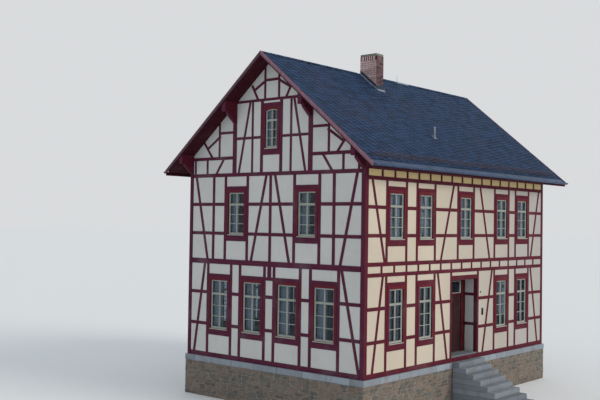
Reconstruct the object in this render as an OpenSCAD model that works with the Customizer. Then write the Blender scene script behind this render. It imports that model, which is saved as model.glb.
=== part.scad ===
/* [Overall] */
// Length of the eaves walls, between the outer faces of the corner posts
wall_l = 11570; // [11400:10:11800]
// Depth of the gable walls, between the outer faces of the corner posts
wall_w = 7500; // [7400:10:7700]
// Height of the stone plinth, with its cap stones
plinth_h = 1320; // [1000:10:1600]
// Thickness of the rubble plinth wall
plinth_t = 450; // [350:10:600]
// Height of the cap stones
cap_h = 190; // [120:5:240]
// How far the cap stones stand out from the timber wall
cap_out = 60; // [20:5:100]

/* [Timber sizes] */
// Thickness of the timbers in a wall
wall_t = 140; // [120:5:155]
// Side of a corner post, and depth of the sill beams
corner_t = 160; // [155:5:180]
// Width of an ordinary post
post_w = 110; // [90:5:125]
// Height of a rail between posts
rail_h = 105; // [80:5:120]
// Width of a brace
brace_w = 100; // [80:5:120]
// Width of a queen post in the gable triangle
queen_w = 180; // [140:5:200]
// Width of the lighter posts in the gable triangle
stud_w = 85; // [70:5:95]
// How far the plaster lies behind the face of the timbers
plaster_set = 12; // [5:1:25]
// Thickness of the plastered infill
infill_t = 115; // [90:5:125]

/* [Storey heights above the plinth] */
// Height of the sill beam
sill_h = 150; // [120:5:170]
// Underside of the lower plate on the eaves walls
low_plate_z = 2960; // [2900:10:3000]
// Height of the lower plate, and of the upper plate
plate_h = 115; // [90:5:120]
// Height of the joists
joist_h = 200; // [160:5:230]
// Height of the upper sill beam
up_sill_h = 120; // [100:5:140]
// Underside of the upper plate on the eaves walls
up_plate_z = 5835; // [5780:5:5870]
// Height of the eaves beam over the attic joists
eaves_beam_h = 150; // [120:5:180]
// Underside of the floor beam on the gable walls
mid_beam_z = 3120; // [3100:5:3150]
// Height of the floor beam on the gable walls
mid_beam_h = 170; // [140:5:190]
// Underside of the beam below the gable triangle
top_beam_z = 6020; // [5990:5:6050]
// Height of the beam below the gable triangle
top_beam_h = 120; // [100:5:140]

/* [Windows] */
// Clear width between the posts of a window on the eaves walls
bay_w = 940; // [860:10:980]
// Clear width between the posts of a ground floor window on the gable walls
low_gable_bay_w = 980; // [900:10:1000]
// Clear width between the posts of an upper floor window on the gable walls
up_gable_bay_w = 900; // [820:10:960]
// Clear width between the posts of the attic window
attic_bay_w = 710; // [640:10:740]
// Width of the boards of a window casing
casing_w = 100; // [70:5:120]
// Thickness of a window casing
casing_t = 60; // [40:5:80]
// How far a window casing stands out from the timbers
casing_out = 15; // [5:1:30]
// Height of the timber over a window
trimmer_h = 110; // [80:5:130]
// Height of the timber under a window
sill_rail_h = 175; // [140:5:190]
// Width of the outer members of a window frame
sash_w = 45; // [35:5:55]
// Width of the middle member of a window frame
mullion_w = 45; // [35:5:60]
// Thickness of a window frame
sash_t = 50; // [40:5:60]
// How far a window frame lies behind the face of the timbers
sash_set = 25; // [15:5:40]
// Thickness of the glass
glass_t = 8; // [6:1:12]

// Height of the transom of a window
bar_w = 60; // [50:5:80]
// Share of a window's height below the middle of its transom
transom_at = 0.72; // [0.68:0.01:0.76]

/* [Door and porch] */
// Left side of the porch recess, from the near corner
porch_x = 4870; // [4860:5:4900]
// Width of the porch recess
porch_w = 1655; // [1640:5:1670]
// Depth of the porch recess, from the wall face to the door frame
porch_d = 470; // [450:5:490]
// Underside of the lintel over the porch, above the plinth
porch_top = 2710; // [2680:5:2740]
// Height of the lintel over the porch
lintel_h = 140; // [120:5:160]
// Width of the post on the right of the porch
porch_post_w = 115; // [105:5:125]
// Thickness of the porch side walls
porch_wall_t = 100; // [80:5:120]
// Width of the jambs of the door frame
jamb_w = 260; // [220:5:280]
// Thickness of the door frame
frame_t = 80; // [70:5:100]
// Thickness of the stone floor of the porch
porch_floor_t = 40; // [30:5:60]
// Height of the door leaf
door_h = 1920; // [1880:5:1960]
// Thickness of the door leaf
door_t = 50; // [40:2:56]
// Clearance round the door leaf
door_gap = 6; // [5:0.5:8]
// Height of the bar between the door and the light over it
transom_h = 75; // [60:5:90]
// Radius of the hinge pins
pin_r = 8; // [6:1:10]
// Running clearance between a hinge pin and its knuckle
pin_gap = 0.4; // [0.3:0.1:0.6]

/* [Roof] */
// Underside of the roof over the outer face of the eaves walls, above the plinth
roof_seat_z = 6640; // [6600:5:6680]
// Rise of the roof for each unit of run
pitch = 0.827; // [0.81:0.001:0.84]
// Thickness of the rafters and boards, measured plumb
deck_t = 130; // [100:5:150]
// Thickness of the slates, measured plumb
slate_t = 40; // [25:5:50]
// Reach of the roof past the eaves walls
eaves_out = 660; // [600:10:850]
// Reach of the roof past the gable walls
verge_out = 545; // [450:5:650]
// Thickness of the barge boards
barge_t = 30; // [20:2:40]
// Height of the barge boards, measured plumb
barge_h = 250; // [150:5:320]
// Radius of the half-round gutters
gutter_r = 65; // [50:5:80]
// Width of the purlins
purlin_w = 160; // [120:5:180]
// Height of the purlins at the queen posts
purlin_h = 200; // [160:5:240]
// Height of the knee brackets
knee_h = 330; // [280:10:650]
// Reach of the knee brackets from the gable wall
knee_out = 380; // [300:10:450]
// Thickness of the knee brackets
knee_t = 110; // [80:5:130]

/* [Chimney] */
// Left side of the chimney, from the near corner
chimney_x = 4620; // [4000:10:5200]
// Length of the chimney along the ridge
chimney_l = 430; // [380:10:600]
// Depth of the chimney, down the front slope
chimney_d = 700; // [500:10:760]
// Height of the chimney shaft above the ridge
chimney_rise = 420; // [350:10:500]
// Height of the narrower courses over the shaft
neck_h = 160; // [120:5:200]
// How far the narrower courses lie behind the face of the shaft
neck_in = 60; // [40:5:80]
// Thickness of the slab over the chimney
slab_h = 80; // [60:5:100]
// Place of the roof pipe along the front wall, from the near corner
vent_x = 5000; // [4800:10:5200]
// Distance of the roof pipe behind the front wall
vent_y = 840; // [700:10:1000]
// Radius of the roof pipe
vent_r = 45; // [35:5:60]
// Height of the roof pipe above the slates
vent_h = 350; // [250:10:450]

/* [Steps] */
// Going of a step
step_going = 260; // [240:5:300]
// Width of the flight
flight_w = 1700; // [1560:10:1900]
// Number of risers
risers = 9; // [8:1:10]

/* [Hidden] */
joint_gap = 0.5;
seat_gap = 0.3;
roof_gap = 0.05;
flashing_t = 7;
flashing_h = 150;
wall_purlin_h = 145;
half_w = wall_w/2;
roof_under = roof_seat_z + pitch*half_w;
ridge_z = roof_under + deck_t + slate_t;
shaft_top = round(ridge_z + chimney_rise);
// Places along and across the house keep their share of its length and width
measured_l = 11570;
measured_half_w = 3750;
along = wall_l/measured_l;
across = half_w/measured_half_w;
low_joist_z = low_plate_z + plate_h;
up_sill_z = low_joist_z + joist_h;
up_floor_z = up_sill_z + up_sill_h;
up_joist_z = up_plate_z + plate_h;
eaves_beam_z = up_joist_z + joist_h;
purlin_z = roof_seat_z - wall_purlin_h;
attic_z = top_beam_z + top_beam_h;
gable_rise = roof_under - attic_z;
board_t = 30;
joist_w = 90;
joist_first = 850;
joist_last = 805;
joist_n = 16;
joist_step = (wall_l - joist_first - joist_last)/(joist_n - 1);

// Window centres along the eaves walls, from the near corner
low_bays = along*[1625, 3265, 8260, 9835];
up_bays = along*[1625, 3265, 5740, 8260, 9835];
// Window centres on the gable walls, from the middle of the wall
low_gable_bays = across*[-2250, -750, 750, 2250];
up_gable_bays = across*[-1515, 1515];
up_side_post = across*2580;
// Lower edges of the window openings and upper edges of the openings, above the plinth
low_bay_z = [890, 2665];
up_bay_z = [4040, 5565];
low_gable_z = [925, 2680];
up_gable_z = [4075, 5590];
attic_bay_z = [attic_z + 0.2*gable_rise, attic_z + 0.583*gable_rise];
// Rise of the curved head of the attic window
head_rise = 45;
// Middle heights of the rails
low_rails = [1045, 2025];
up_rails = [4185, 5030];
porch_rails = [1135, 2155];
low_gable_rails = [1105, 2160];
up_gable_rails = [4145, 5110];
// Rail level with the window heads in the middle of a gable wall, and the short stud on it
head_rail_z = low_gable_z[1] + trimmer_h/2;
short_stud_w = 160;
// Middle heights of the rails in the gable triangle, as shares of its rise
side_rail_z = attic_z + 0.14*gable_rise;
centre_rail_z = attic_z + 0.312*gable_rise;
short_rail_z = attic_z + 0.3735*gable_rise;
collar_z = attic_z + 0.644*gable_rise;
tie_z = attic_z + 0.818*gable_rise;
// Places in the gable triangle, from the middle of the wall
queen_u = across*1630;
attic_post_w = 120;
attic_post_u = (attic_bay_w + attic_post_w)/2;
inner_stud_u = across*830;
outer_stud_u = across*2350;
low_stud_u = across*2915;
end_stud_u = across*3500;
top_stud_u = across*300;
// Ends of the braces on an eaves wall, from its near corner
corner_brace = along*[920, 430];
corner_brace_far = along*[1020, 430];
up_corner_brace = along*[355, 1000];
up_left_brace = along*[4930, 4160];
up_right_brace = along*[6700, 7375];
// Distances of the long braces from the window posts and from the porch posts
brace_top_left = 140;
brace_top_right = 110;
brace_foot_left = 180;
brace_foot_right = 290;
// Ends of the braces on a gable wall, from its middle
low_left_brace = across*[-2910, -3570];
low_right_brace = across*[2960, 3430];
up_side_brace = across*[3440, 2845];
up_middle_brace = across*[190, 815];
// Ends of the braces in the gable triangle, each a place and a share of the rise
attic_brace_ends = [[[950, 0.63], [1430, 0]], [[2150, 0.125], [2470, 0]], [[2335, 0.339], [2845, 0.247]],
    [[3060, 0.283], [2660, 0.14]], [[330, 0.805], [770, 0.739]], [[860, 0.775], [600, 0.647]]];
bury = 45;

jamb_l = porch_x + jamb_w;
jamb_r = porch_x + porch_w - jamb_w;
frame_y = porch_d;
frame_back = frame_y + frame_t;
porch_floor_z = sill_h + porch_floor_t;
door_z = porch_floor_z + door_gap;
door_back = frame_back;
door_front = door_back - door_t;
stop_t = frame_t - door_t - 5;
transom_z = door_z + door_h + door_gap;
light_z = transom_z + transom_h;
light_top = porch_top - board_t - 60;
pin_x = jamb_r - 2.5;
knuckle_r = pin_r + 5;
pin_y = door_back + knuckle_r + 1;

riser = (plinth_h + porch_floor_z)/risers;
flight_run = (risers - 1)*step_going;
gutter_gap = 2;
roof_reach = eaves_out + 2*gutter_r + gutter_gap;
step_reach = cap_out + flight_run;
mid_y = (wall_w + roof_reach - step_reach)/2;

// Frame of the house: X along the front wall, Y into its depth, Z above the plinth
module set_out() translate([-wall_l/2, -mid_y, plinth_h]) children();

// Walls drawn flat and stood up in their places
module on_front(depth, set = 0) translate([0, set + depth, 0]) rotate([90, 0, 0])
    linear_extrude(depth) children();
module on_back(depth, set = 0) translate([0, wall_w - set, 0]) rotate([90, 0, 0])
    linear_extrude(depth) children();
module on_left(depth, set = 0) translate([set, half_w, 0]) rotate([90, 0, 90])
    linear_extrude(depth) children();
module on_right(depth, set = 0) translate([wall_l - set - depth, half_w, 0]) rotate([90, 0, 90])
    linear_extrude(depth) children();

module box2(x0, z0, x1, z1) translate([x0, z0]) square([x1 - x0, z1 - z0]);
module box3(a, b) translate(a) cube(b - a);
module post(x, z0, z1, w = post_w) box2(x - w/2, z0, x + w/2, z1);
module rail(z, x0, x1, h = rail_h) box2(x0, z - h/2, x1, z + h/2);
module brace(p, q, w = brace_w) {
    d = q - p;
    len = norm(d);
    translate(p) rotate(atan2(d[1], d[0])) translate([-bury, -w/2]) square([len + 2*bury, w]);
}
module both_sides() {
    children();
    mirror([1, 0]) children();
}

// Half-timbering of an eaves wall
module bay_opening(c, w, z) box2(c - w/2, z[0], c + w/2, z[1]);
module bay_field(c, w, z) box2(c - w/2, z[0] - sill_rail_h, c + w/2, z[1] + trimmer_h);
module bay_trimmers(c, w, z) {
    box2(c - w/2, z[0] - sill_rail_h, c + w/2, z[0]);
    box2(c - w/2, z[1], c + w/2, z[1] + trimmer_h);
}
module bay_posts(c, w, z0, z1) for (s = [-1, 1]) post(c + s*(w + post_w)/2, z0, z1);
module porch_hole() box2(porch_x, -1, porch_x + porch_w, porch_top);

module eaves_posts_2d(door) {
    for (x = [corner_t/2, wall_l - corner_t/2]) post(x, sill_h, purlin_z, corner_t);
    for (c = low_bays) bay_posts(c, bay_w, sill_h, low_plate_z);
    for (c = up_bays) bay_posts(c, bay_w, up_floor_z, up_plate_z);
    if (door) {
        box2(porch_x - post_w, sill_h, porch_x, low_plate_z);
        box2(porch_x + porch_w, sill_h, porch_x + porch_w + porch_post_w, low_plate_z);
    }
    else bay_posts(up_bays[2], bay_w, sill_h, low_plate_z);
}
module low_brace(x) brace([x[0], low_plate_z], [x[1], sill_h]);
module up_brace(x) brace([x[0], up_plate_z], [x[1], up_floor_z]);
module eaves_braces_full() {
    reach = bay_w/2 + post_w;
    low_brace([corner_brace[0], corner_brace[1]]);
    low_brace([wall_l - corner_brace_far[0], wall_l - corner_brace_far[1]]);
    low_brace([low_bays[1] + reach + brace_top_left, porch_x - post_w - brace_foot_left]);
    low_brace([low_bays[2] - reach - brace_top_right, porch_x + porch_w + porch_post_w + brace_foot_right]);
    up_brace(up_corner_brace);
    up_brace([wall_l - up_corner_brace[0], wall_l - up_corner_brace[1]]);
    up_brace(up_left_brace);
    up_brace(up_right_brace);
}
module eaves_braces_2d(door) difference() {
    eaves_braces_full();
    eaves_posts_2d(door);
    eaves_long_beams();
}
module eaves_long_beams() {
    box2(corner_t, low_plate_z, wall_l - corner_t, low_plate_z + plate_h);
    box2(corner_t, up_sill_z, wall_l - corner_t, up_floor_z);
    box2(corner_t, up_plate_z, wall_l - corner_t, up_joist_z);
    box2(corner_t, eaves_beam_z, wall_l - corner_t, eaves_beam_z + eaves_beam_h);
    box2(0, 0, wall_l, sill_h);
}
module eaves_beams_2d(door) {
    eaves_long_beams();
    difference() {
        union() {
            for (z = low_rails) rail(z, corner_t, wall_l - corner_t);
            for (z = up_rails) rail(z, corner_t, wall_l - corner_t);
        }
        eaves_posts_2d(door);
        eaves_braces_full();
        for (c = low_bays) bay_field(c, bay_w, low_bay_z);
        for (c = up_bays) bay_field(c, bay_w, up_bay_z);
        if (door) porch_hole();
        else bay_field(up_bays[2], bay_w, low_bay_z);
    }
    for (c = low_bays) bay_trimmers(c, bay_w, low_bay_z);
    for (c = up_bays) bay_trimmers(c, bay_w, up_bay_z);
    if (door) box2(porch_x, porch_top, porch_x + porch_w, porch_top + lintel_h);
    else bay_trimmers(up_bays[2], bay_w, low_bay_z);
}
module joist_ends_2d() for (k = [0:joist_n - 1], z = [low_joist_z, up_joist_z])
    box2(joist_first + k*joist_step - joist_w/2, z, joist_first + k*joist_step + joist_w/2, z + joist_h);
module eaves_infill_2d(door) difference() {
    box2(corner_t, sill_h, wall_l - corner_t, purlin_z);
    eaves_posts_2d(door);
    eaves_braces_full();
    eaves_beams_2d(door);
    joist_ends_2d();
    for (c = low_bays) bay_opening(c, bay_w, low_bay_z);
    for (c = up_bays) bay_opening(c, bay_w, up_bay_z);
    if (door) porch_hole();
    else bay_opening(up_bays[2], bay_w, low_bay_z);
}

// Half-timbering of a gable wall, drawn from the middle of the wall
inner_u = half_w - corner_t;
function rake(u) = roof_under - roof_gap - pitch*abs(u);
module gable_outline() polygon([[-inner_u, 0], [inner_u, 0], [inner_u, rake(inner_u)], [0, rake(0)],
    [-inner_u, rake(inner_u)]]);
module purlin_2d(u, h) {
    u0 = u - purlin_w/2;
    u1 = u + purlin_w/2;
    bottom = min(rake(u0), rake(u1)) - h;
    polygon([[u0, bottom], [u1, bottom], [u1, rake(u1)], [u0, rake(u0)]]);
}
module gable_purlins_2d() both_sides() purlin_2d(queen_u, purlin_h);
module gable_posts_2d() difference() {
    intersection() {
        gable_outline();
        union() {
            for (c = low_gable_bays) bay_posts(c, low_gable_bay_w, sill_h, mid_beam_z);
            for (c = up_gable_bays) bay_posts(c, up_gable_bay_w, mid_beam_z + mid_beam_h, top_beam_z);
            for (u = [-up_side_post, 0, up_side_post]) post(u, mid_beam_z + mid_beam_h, top_beam_z);
            post(0, head_rail_z + rail_h/2, mid_beam_z, short_stud_w);
            both_sides() post(queen_u, attic_z, collar_z + rail_h, queen_w);
            both_sides() post(attic_post_u, attic_z, collar_z - stud_w/2, attic_post_w);
            both_sides() post(inner_stud_u, attic_z, collar_z - stud_w/2, stud_w);
            both_sides() post(outer_stud_u, side_rail_z + rail_h/2, rake(outer_stud_u) + rail_h, stud_w);
            both_sides() post(low_stud_u, attic_z, side_rail_z - rail_h/2, stud_w);
            both_sides() post(end_stud_u, attic_z, side_rail_z - rail_h/2, stud_w);
            both_sides() post(top_stud_u, collar_z + stud_w/2, rake(top_stud_u) + rail_h, stud_w);
        }
    }
    gable_purlins_2d();
}
module low_gable_braces() {
    for (u = [low_left_brace, low_right_brace]) brace([u[0], mid_beam_z], [u[1], sill_h]);
}
module up_gable_braces() {
    z0 = top_beam_z;
    z1 = mid_beam_z + mid_beam_h;
    both_sides() for (u = [up_side_brace, up_middle_brace]) brace([u[0], z0], [u[1], z1]);
}
function attic_point(e) = [across*e[0], attic_z + e[1]*gable_rise];
module attic_braces() both_sides() for (e = attic_brace_ends)
    brace(attic_point(e[0]), attic_point(e[1]), stud_w);
module gable_braces_2d() difference() {
    intersection() {
        gable_outline();
        union() {
            low_gable_braces();
            up_gable_braces();
            attic_braces();
        }
    }
    gable_posts_2d();
    gable_long_beams();
    gable_purlins_2d();
}
module gable_long_beams() intersection() {
    gable_outline();
    union() {
        box2(-inner_u, 0, inner_u, sill_h);
        box2(-inner_u, mid_beam_z, inner_u, mid_beam_z + mid_beam_h);
        box2(-inner_u, top_beam_z, inner_u, attic_z);
        difference() {
            rail(collar_z, -inner_u, inner_u, stud_w);
            gable_purlins_2d();
            both_sides() post(queen_u, attic_z, collar_z + rail_h, queen_w);
        }
        both_sides() difference() {
            rail(side_rail_z, queen_u + queen_w/2, inner_u);
            gable_purlins_2d();
        }
    }
}
module gable_rails_full() {
    for (z = low_gable_rails) rail(z, -inner_u, inner_u);
    rail(head_rail_z, low_gable_bays[1] + low_gable_bay_w/2, low_gable_bays[2] - low_gable_bay_w/2);
    for (z = up_gable_rails) rail(z, -inner_u, inner_u);
    rail(centre_rail_z, -queen_u, queen_u, stud_w);
    both_sides() rail(short_rail_z, queen_u, outer_stud_u, stud_w);
    rail(tie_z, -top_stud_u, top_stud_u, stud_w);
}
module gable_fields() {
    for (c = low_gable_bays) bay_field(c, low_gable_bay_w, low_gable_z);
    for (c = up_gable_bays) bay_field(c, up_gable_bay_w, up_gable_z);
    bay_field(0, attic_bay_w, attic_bay_z);
}
module gable_beams_2d() {
    gable_long_beams();
    difference() {
        intersection() {
            gable_outline();
            gable_rails_full();
        }
        gable_posts_2d();
        gable_braces_2d();
        gable_fields();
        gable_purlins_2d();
    }
    for (c = low_gable_bays) bay_trimmers(c, low_gable_bay_w, low_gable_z);
    for (c = up_gable_bays) bay_trimmers(c, up_gable_bay_w, up_gable_z);
    bay_trimmers(0, attic_bay_w, attic_bay_z);
}
module gable_infill_2d() difference() {
    gable_outline();
    gable_posts_2d();
    gable_braces_2d();
    gable_beams_2d();
    gable_purlins_2d();
    for (c = low_gable_bays) bay_opening(c, low_gable_bay_w, low_gable_z);
    for (c = up_gable_bays) bay_opening(c, up_gable_bay_w, up_gable_z);
    bay_opening(0, attic_bay_w, attic_bay_z);
}

// A window in its opening: casing boards, frame and glass, with a curved head where rise is over 0
function light_size(c, w, z) = [w - 2*casing_w, z[1] - casing_w - z[0] - sash_w];
module under_head(c, w, z, rise, inset = 0) {
    s = light_size(c, w, z);
    r = rise > 0 ? (s[0]*s[0]/4 + rise*rise)/(2*rise) : 0;
    if (rise > 0) intersection() {
        children();
        translate([c, z[1] - casing_w - r]) circle(r = r - inset, $fn = 128);
    }
    else children();
}
module casing_2d(c, w, z, rise = 0) {
    for (s = [-1, 1]) translate([c + s*(w - casing_w)/2, 0])
        box2(-casing_w/2, z[0], casing_w/2, z[1]);
    difference() {
        box2(c - w/2 + casing_w + joint_gap, z[1] - casing_w - rise, c + w/2 - casing_w - joint_gap, z[1]);
        if (rise > 0) under_head(c, w, z, rise) pane_2d(c, w, z);
    }
    box2(c - w/2 + casing_w + joint_gap, z[0], c + w/2 - casing_w - joint_gap, z[0] + sash_w);
}
module pane_2d(c, w, z) box2(c - w/2 + casing_w, z[0] + sash_w, c + w/2 - casing_w, z[1] - casing_w);
module sash_2d(c, w, z, rise = 0) {
    s = light_size(c, w, z);
    x0 = c - s[0]/2;
    z0 = z[0] + sash_w;
    z1 = z0 + s[1];
    bar = z0 + s[1]*transom_at;
    difference() {
        under_head(c, w, z, rise, roof_gap) box2(x0, z0, x0 + s[0], z1);
        for (side = [-1, 1]) {
            a = side < 0 ? x0 + sash_w : c + mullion_w/2;
            b = side < 0 ? c - mullion_w/2 : x0 + s[0] - sash_w;
            box2(a, z0 + sash_w, b, bar - bar_w/2);
            under_head(c, w, z, rise, sash_w) box2(a, bar + bar_w/2, b, z1 - sash_w);
        }
    }
}
module glass_2d(c, w, z, rise = 0) under_head(c, w, z, rise, roof_gap) pane_2d(c, w, z);
module eaves_windows(door, kind) {
    for (c = low_bays) window_2d(kind, c, bay_w, low_bay_z);
    if (!door) window_2d(kind, up_bays[2], bay_w, low_bay_z);
    for (c = up_bays) window_2d(kind, c, bay_w, up_bay_z);
}
module gable_windows(kind) {
    for (c = low_gable_bays) window_2d(kind, c, low_gable_bay_w, low_gable_z);
    for (c = up_gable_bays) window_2d(kind, c, up_gable_bay_w, up_gable_z);
    window_2d(kind, 0, attic_bay_w, attic_bay_z, head_rise);
}
module window_2d(kind, c, w, z, rise = 0) {
    if (kind == "casing") casing_2d(c, w, z, rise);
    if (kind == "sash") sash_2d(c, w, z, rise);
    if (kind == "glass") glass_2d(c, w, z, rise);
}
module all_windows(kind, depth, set) {
    on_front(depth, set) eaves_windows(true, kind);
    on_back(depth, set) eaves_windows(false, kind);
    on_left(depth, set) gable_windows(kind);
    on_right(depth, set) gable_windows(kind);
}

// Base
module plinth() color("#8a857c") set_out() {
    o = cap_out - 20;
    z0 = -plinth_h;
    z1 = -cap_h;
    for (y = [-o, wall_w + o - plinth_t]) box3([-o, y, z0], [wall_l + o, y + plinth_t, z1]);
    for (x = [-o, wall_l + o - plinth_t])
        box3([x, plinth_t - o + joint_gap, z0], [x + plinth_t, wall_w + o - plinth_t - joint_gap, z1]);
}
module plinth_cap() color("#b4b6bc") set_out() {
    t = plinth_t + cap_out - 20;
    o = cap_out;
    for (y = [-o, wall_w + o - t]) box3([-o, y, -cap_h], [wall_l + o, y + t, 0]);
    for (x = [-o, wall_l + o - t])
        box3([x, t - o + joint_gap, -cap_h], [x + t, wall_w + o - t - joint_gap, 0]);
}
module entrance_steps() color("#9a958c") set_out() {
    mid = porch_x + porch_w/2;
    wall_face = -cap_out - seat_gap;
    for (k = [1:risers - 1]) {
        top = porch_floor_z - k*riser;
        front = -cap_out - k*step_going;
        last = k == risers - 1;
        box3([mid - flight_w/2, front, last ? -plinth_h : top - riser + joint_gap],
            [mid + flight_w/2, wall_face, top]);
    }
}
module ground_floor() color("#8d7458") set_out()
    box3([corner_t, corner_t, 0], [wall_l - corner_t, wall_w - corner_t, sill_h]);
module upper_floor() color("#8d7458") set_out()
    box3([corner_t, corner_t, up_sill_z], [wall_l - corner_t, wall_w - corner_t, up_sill_z + board_t]);
module attic_floor() color("#8d7458") set_out()
    box3([corner_t, corner_t, eaves_beam_z], [wall_l - corner_t, wall_w - corner_t, eaves_beam_z + board_t]);
module floor_joists() color("#6f2428") set_out()
    for (k = [0:joist_n - 1], z = [low_joist_z, up_joist_z])
        translate([joist_first + k*joist_step - joist_w/2, 0, z]) cube([joist_w, wall_w, joist_h]);

// Walls
module front_posts() color("#6b1f24") set_out() on_front(wall_t) eaves_posts_2d(true);
module front_beams() color("#6b1f24") set_out() on_front(wall_t) eaves_beams_2d(true);
module front_braces() color("#6b1f24") set_out() on_front(wall_t) eaves_braces_2d(true);
module front_infill() color("#e9dcc6") set_out() on_front(infill_t, plaster_set) eaves_infill_2d(true);
module back_posts() color("#6b1f24") set_out() on_back(wall_t) eaves_posts_2d(false);
module back_beams() color("#6b1f24") set_out() on_back(wall_t) eaves_beams_2d(false);
module back_braces() color("#6b1f24") set_out() on_back(wall_t) eaves_braces_2d(false);
module back_infill() color("#e9dcc6") set_out() on_back(infill_t, plaster_set) eaves_infill_2d(false);
module left_gable_posts() color("#6b1f24") set_out() on_left(wall_t) gable_posts_2d();
module left_gable_beams() color("#6b1f24") set_out() on_left(wall_t) gable_beams_2d();
module left_gable_braces() color("#6b1f24") set_out() on_left(wall_t) gable_braces_2d();
module left_gable_infill() color("#e9dcc6") set_out() on_left(infill_t, plaster_set) gable_infill_2d();
module right_gable_posts() color("#6b1f24") set_out() on_right(wall_t) gable_posts_2d();
module right_gable_beams() color("#6b1f24") set_out() on_right(wall_t) gable_beams_2d();
module right_gable_braces() color("#6b1f24") set_out() on_right(wall_t) gable_braces_2d();
module right_gable_infill() color("#e9dcc6") set_out() on_right(infill_t, plaster_set) gable_infill_2d();

module window_casings() color("#5e1518") set_out() all_windows("casing", casing_t, -casing_out);
module window_sashes() color("#d9dcd6") set_out() all_windows("sash", sash_t, sash_set);
module window_glass() color("#46525c") set_out()
    all_windows("glass", glass_t, sash_set + sash_t + seat_gap);

// Porch and door
module porch_floor() color("#8f8c86") set_out()
    box3([porch_x, 0, sill_h], [porch_x + porch_w, frame_back, porch_floor_z]);
module porch_side(x) translate([x, 0, 0]) rotate([90, 0, 90]) linear_extrude(porch_wall_t) children();
module porch_side_rails() for (z = porch_rails) rail(z, wall_t, frame_back);
module porch_timbers() color("#54181c") set_out()
    for (x = [porch_x - porch_wall_t, porch_x + porch_w]) porch_side(x) porch_side_rails();
module porch_panels() color("#e9dcc6") set_out()
    for (x = [porch_x - porch_wall_t, porch_x + porch_w]) porch_side(x) difference() {
        box2(wall_t, sill_h, frame_back, low_plate_z);
        porch_side_rails();
    }
module porch_ceiling() color("#7a3a26") set_out()
    box3([porch_x, wall_t, porch_top - board_t], [porch_x + porch_w, frame_back, porch_top]);
module jamb_2d() polygon([[porch_x, frame_y], [jamb_l + 12, frame_y], [jamb_l + 12, frame_y + stop_t],
    [jamb_l, frame_y + stop_t], [jamb_l, frame_back], [porch_x, frame_back]]);
module door_frame() color("#5e1518") set_out() {
    top = porch_top - board_t;
    translate([0, 0, porch_floor_z]) linear_extrude(top - porch_floor_z) {
        jamb_2d();
        translate([2*porch_x + porch_w, 0]) mirror([1, 0]) jamb_2d();
    }
    g = 12 + joint_gap;
    box3([jamb_l + g, frame_y, transom_z], [jamb_r - g, frame_back, light_z]);
    box3([jamb_l + g, frame_y, light_top], [jamb_r - g, frame_back, top]);
}
module door_leaf() color("#451416") set_out() {
    x0 = jamb_l + door_gap + 1;
    x1 = jamb_r - door_gap;
    difference() {
        box3([x0, door_front, door_z], [x1, door_back, door_z + door_h]);
        for (col = [0, 1], row = [0, 1]) {
            w = (x1 - x0 - 3*120)/2;
            z0 = door_z + 150 + row*980;
            h = row == 0 ? 850 : 670;
            translate([x0 + 120 + col*(w + 120), door_front - 1, z0]) cube([w, 13, h]);
        }
    }
}
handle_h = 1030;
module door_handle() color("#b9a56a") set_out() {
    x = jamb_l + door_gap + 60;
    z = door_z + handle_h;
    for (s = [-1, 1]) {
        face = s < 0 ? door_front : door_back;
        box3([x - 20, min(face, face + s*6), z - 110], [x + 20, max(face, face + s*6), z + 90]);
        translate([x, face + s*30, z]) rotate([90, 0, 0]) cylinder(r = 9, h = 50, center = true, $fn = 24);
        translate([x, face + s*50, z]) rotate([0, 90, 0]) cylinder(r = 9, h = 120, $fn = 24);
    }
}
hinge_z = [300, 980, 1640];
hinge_h = 120;
plate_t = 6;
module door_hinges() color("#3a3a3c") set_out() for (z = hinge_z) {
    translate([pin_x, pin_y, door_z + z]) cylinder(r = pin_r, h = hinge_h, $fn = 32);
    translate([pin_x + 2, frame_back, door_z + z]) cube([62, plate_t + 4, hinge_h/3]);
}
module leaf_hinges() color("#3a3a3c") set_out() for (z = hinge_z) difference() {
    bottom = door_z + z + hinge_h/3 + joint_gap;
    h = hinge_h*2/3 - joint_gap;
    union() {
        translate([pin_x, pin_y, bottom]) cylinder(r = knuckle_r, h = h, $fn = 32);
        translate([pin_x - 90, door_back, bottom]) cube([86, plate_t, h]);
    }
    translate([pin_x, pin_y, bottom - 1]) cylinder(r = pin_r + pin_gap, h = h + 2, $fn = 32);
}

// Roof
module roof_layer(under, thick, u0, u1) {
    x0 = -verge_out;
    translate([x0, half_w, 0]) rotate([90, 0, 90]) linear_extrude(wall_l + 2*verge_out)
        polygon([[u0, under - pitch*abs(u0)], [u1, under - pitch*abs(u1)],
            [u1, under + thick - pitch*abs(u1)], [u0, under + thick - pitch*abs(u0)]]);
}
eaves_u = half_w + eaves_out;
gutter_z = roof_under + deck_t - pitch*eaves_u + 10;
module above_slates() translate([0, half_w, 0]) rotate([90, 0, 90]) linear_extrude(wall_l)
    polygon([[-eaves_u, ridge_z - pitch*eaves_u], [0, ridge_z], [0, shaft_top], [-eaves_u, shaft_top]]);
module chimney_core(grow) box3([chimney_x - grow, half_w - chimney_d - 30 - grow, eaves_beam_z + board_t],
    [chimney_x + chimney_l + grow, half_w - 30 + grow, shaft_top]);
module roof_deck() color("#5a1c20") set_out() difference() {
    union() {
        roof_layer(roof_under, deck_t, -eaves_u, -joint_gap/2);
        roof_layer(roof_under, deck_t, joint_gap/2, eaves_u);
    }
    chimney_core(seat_gap);
}
module front_slates() color("#3f4652") set_out() difference() {
    roof_layer(roof_under + deck_t, slate_t, -eaves_u, -joint_gap/2);
    chimney_core(seat_gap);
}
module back_slates() color("#3f4652") set_out()
    roof_layer(roof_under + deck_t, slate_t, joint_gap/2, eaves_u);
ridge_cap_w = 130;
ridge_cap_t = 8;
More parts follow.
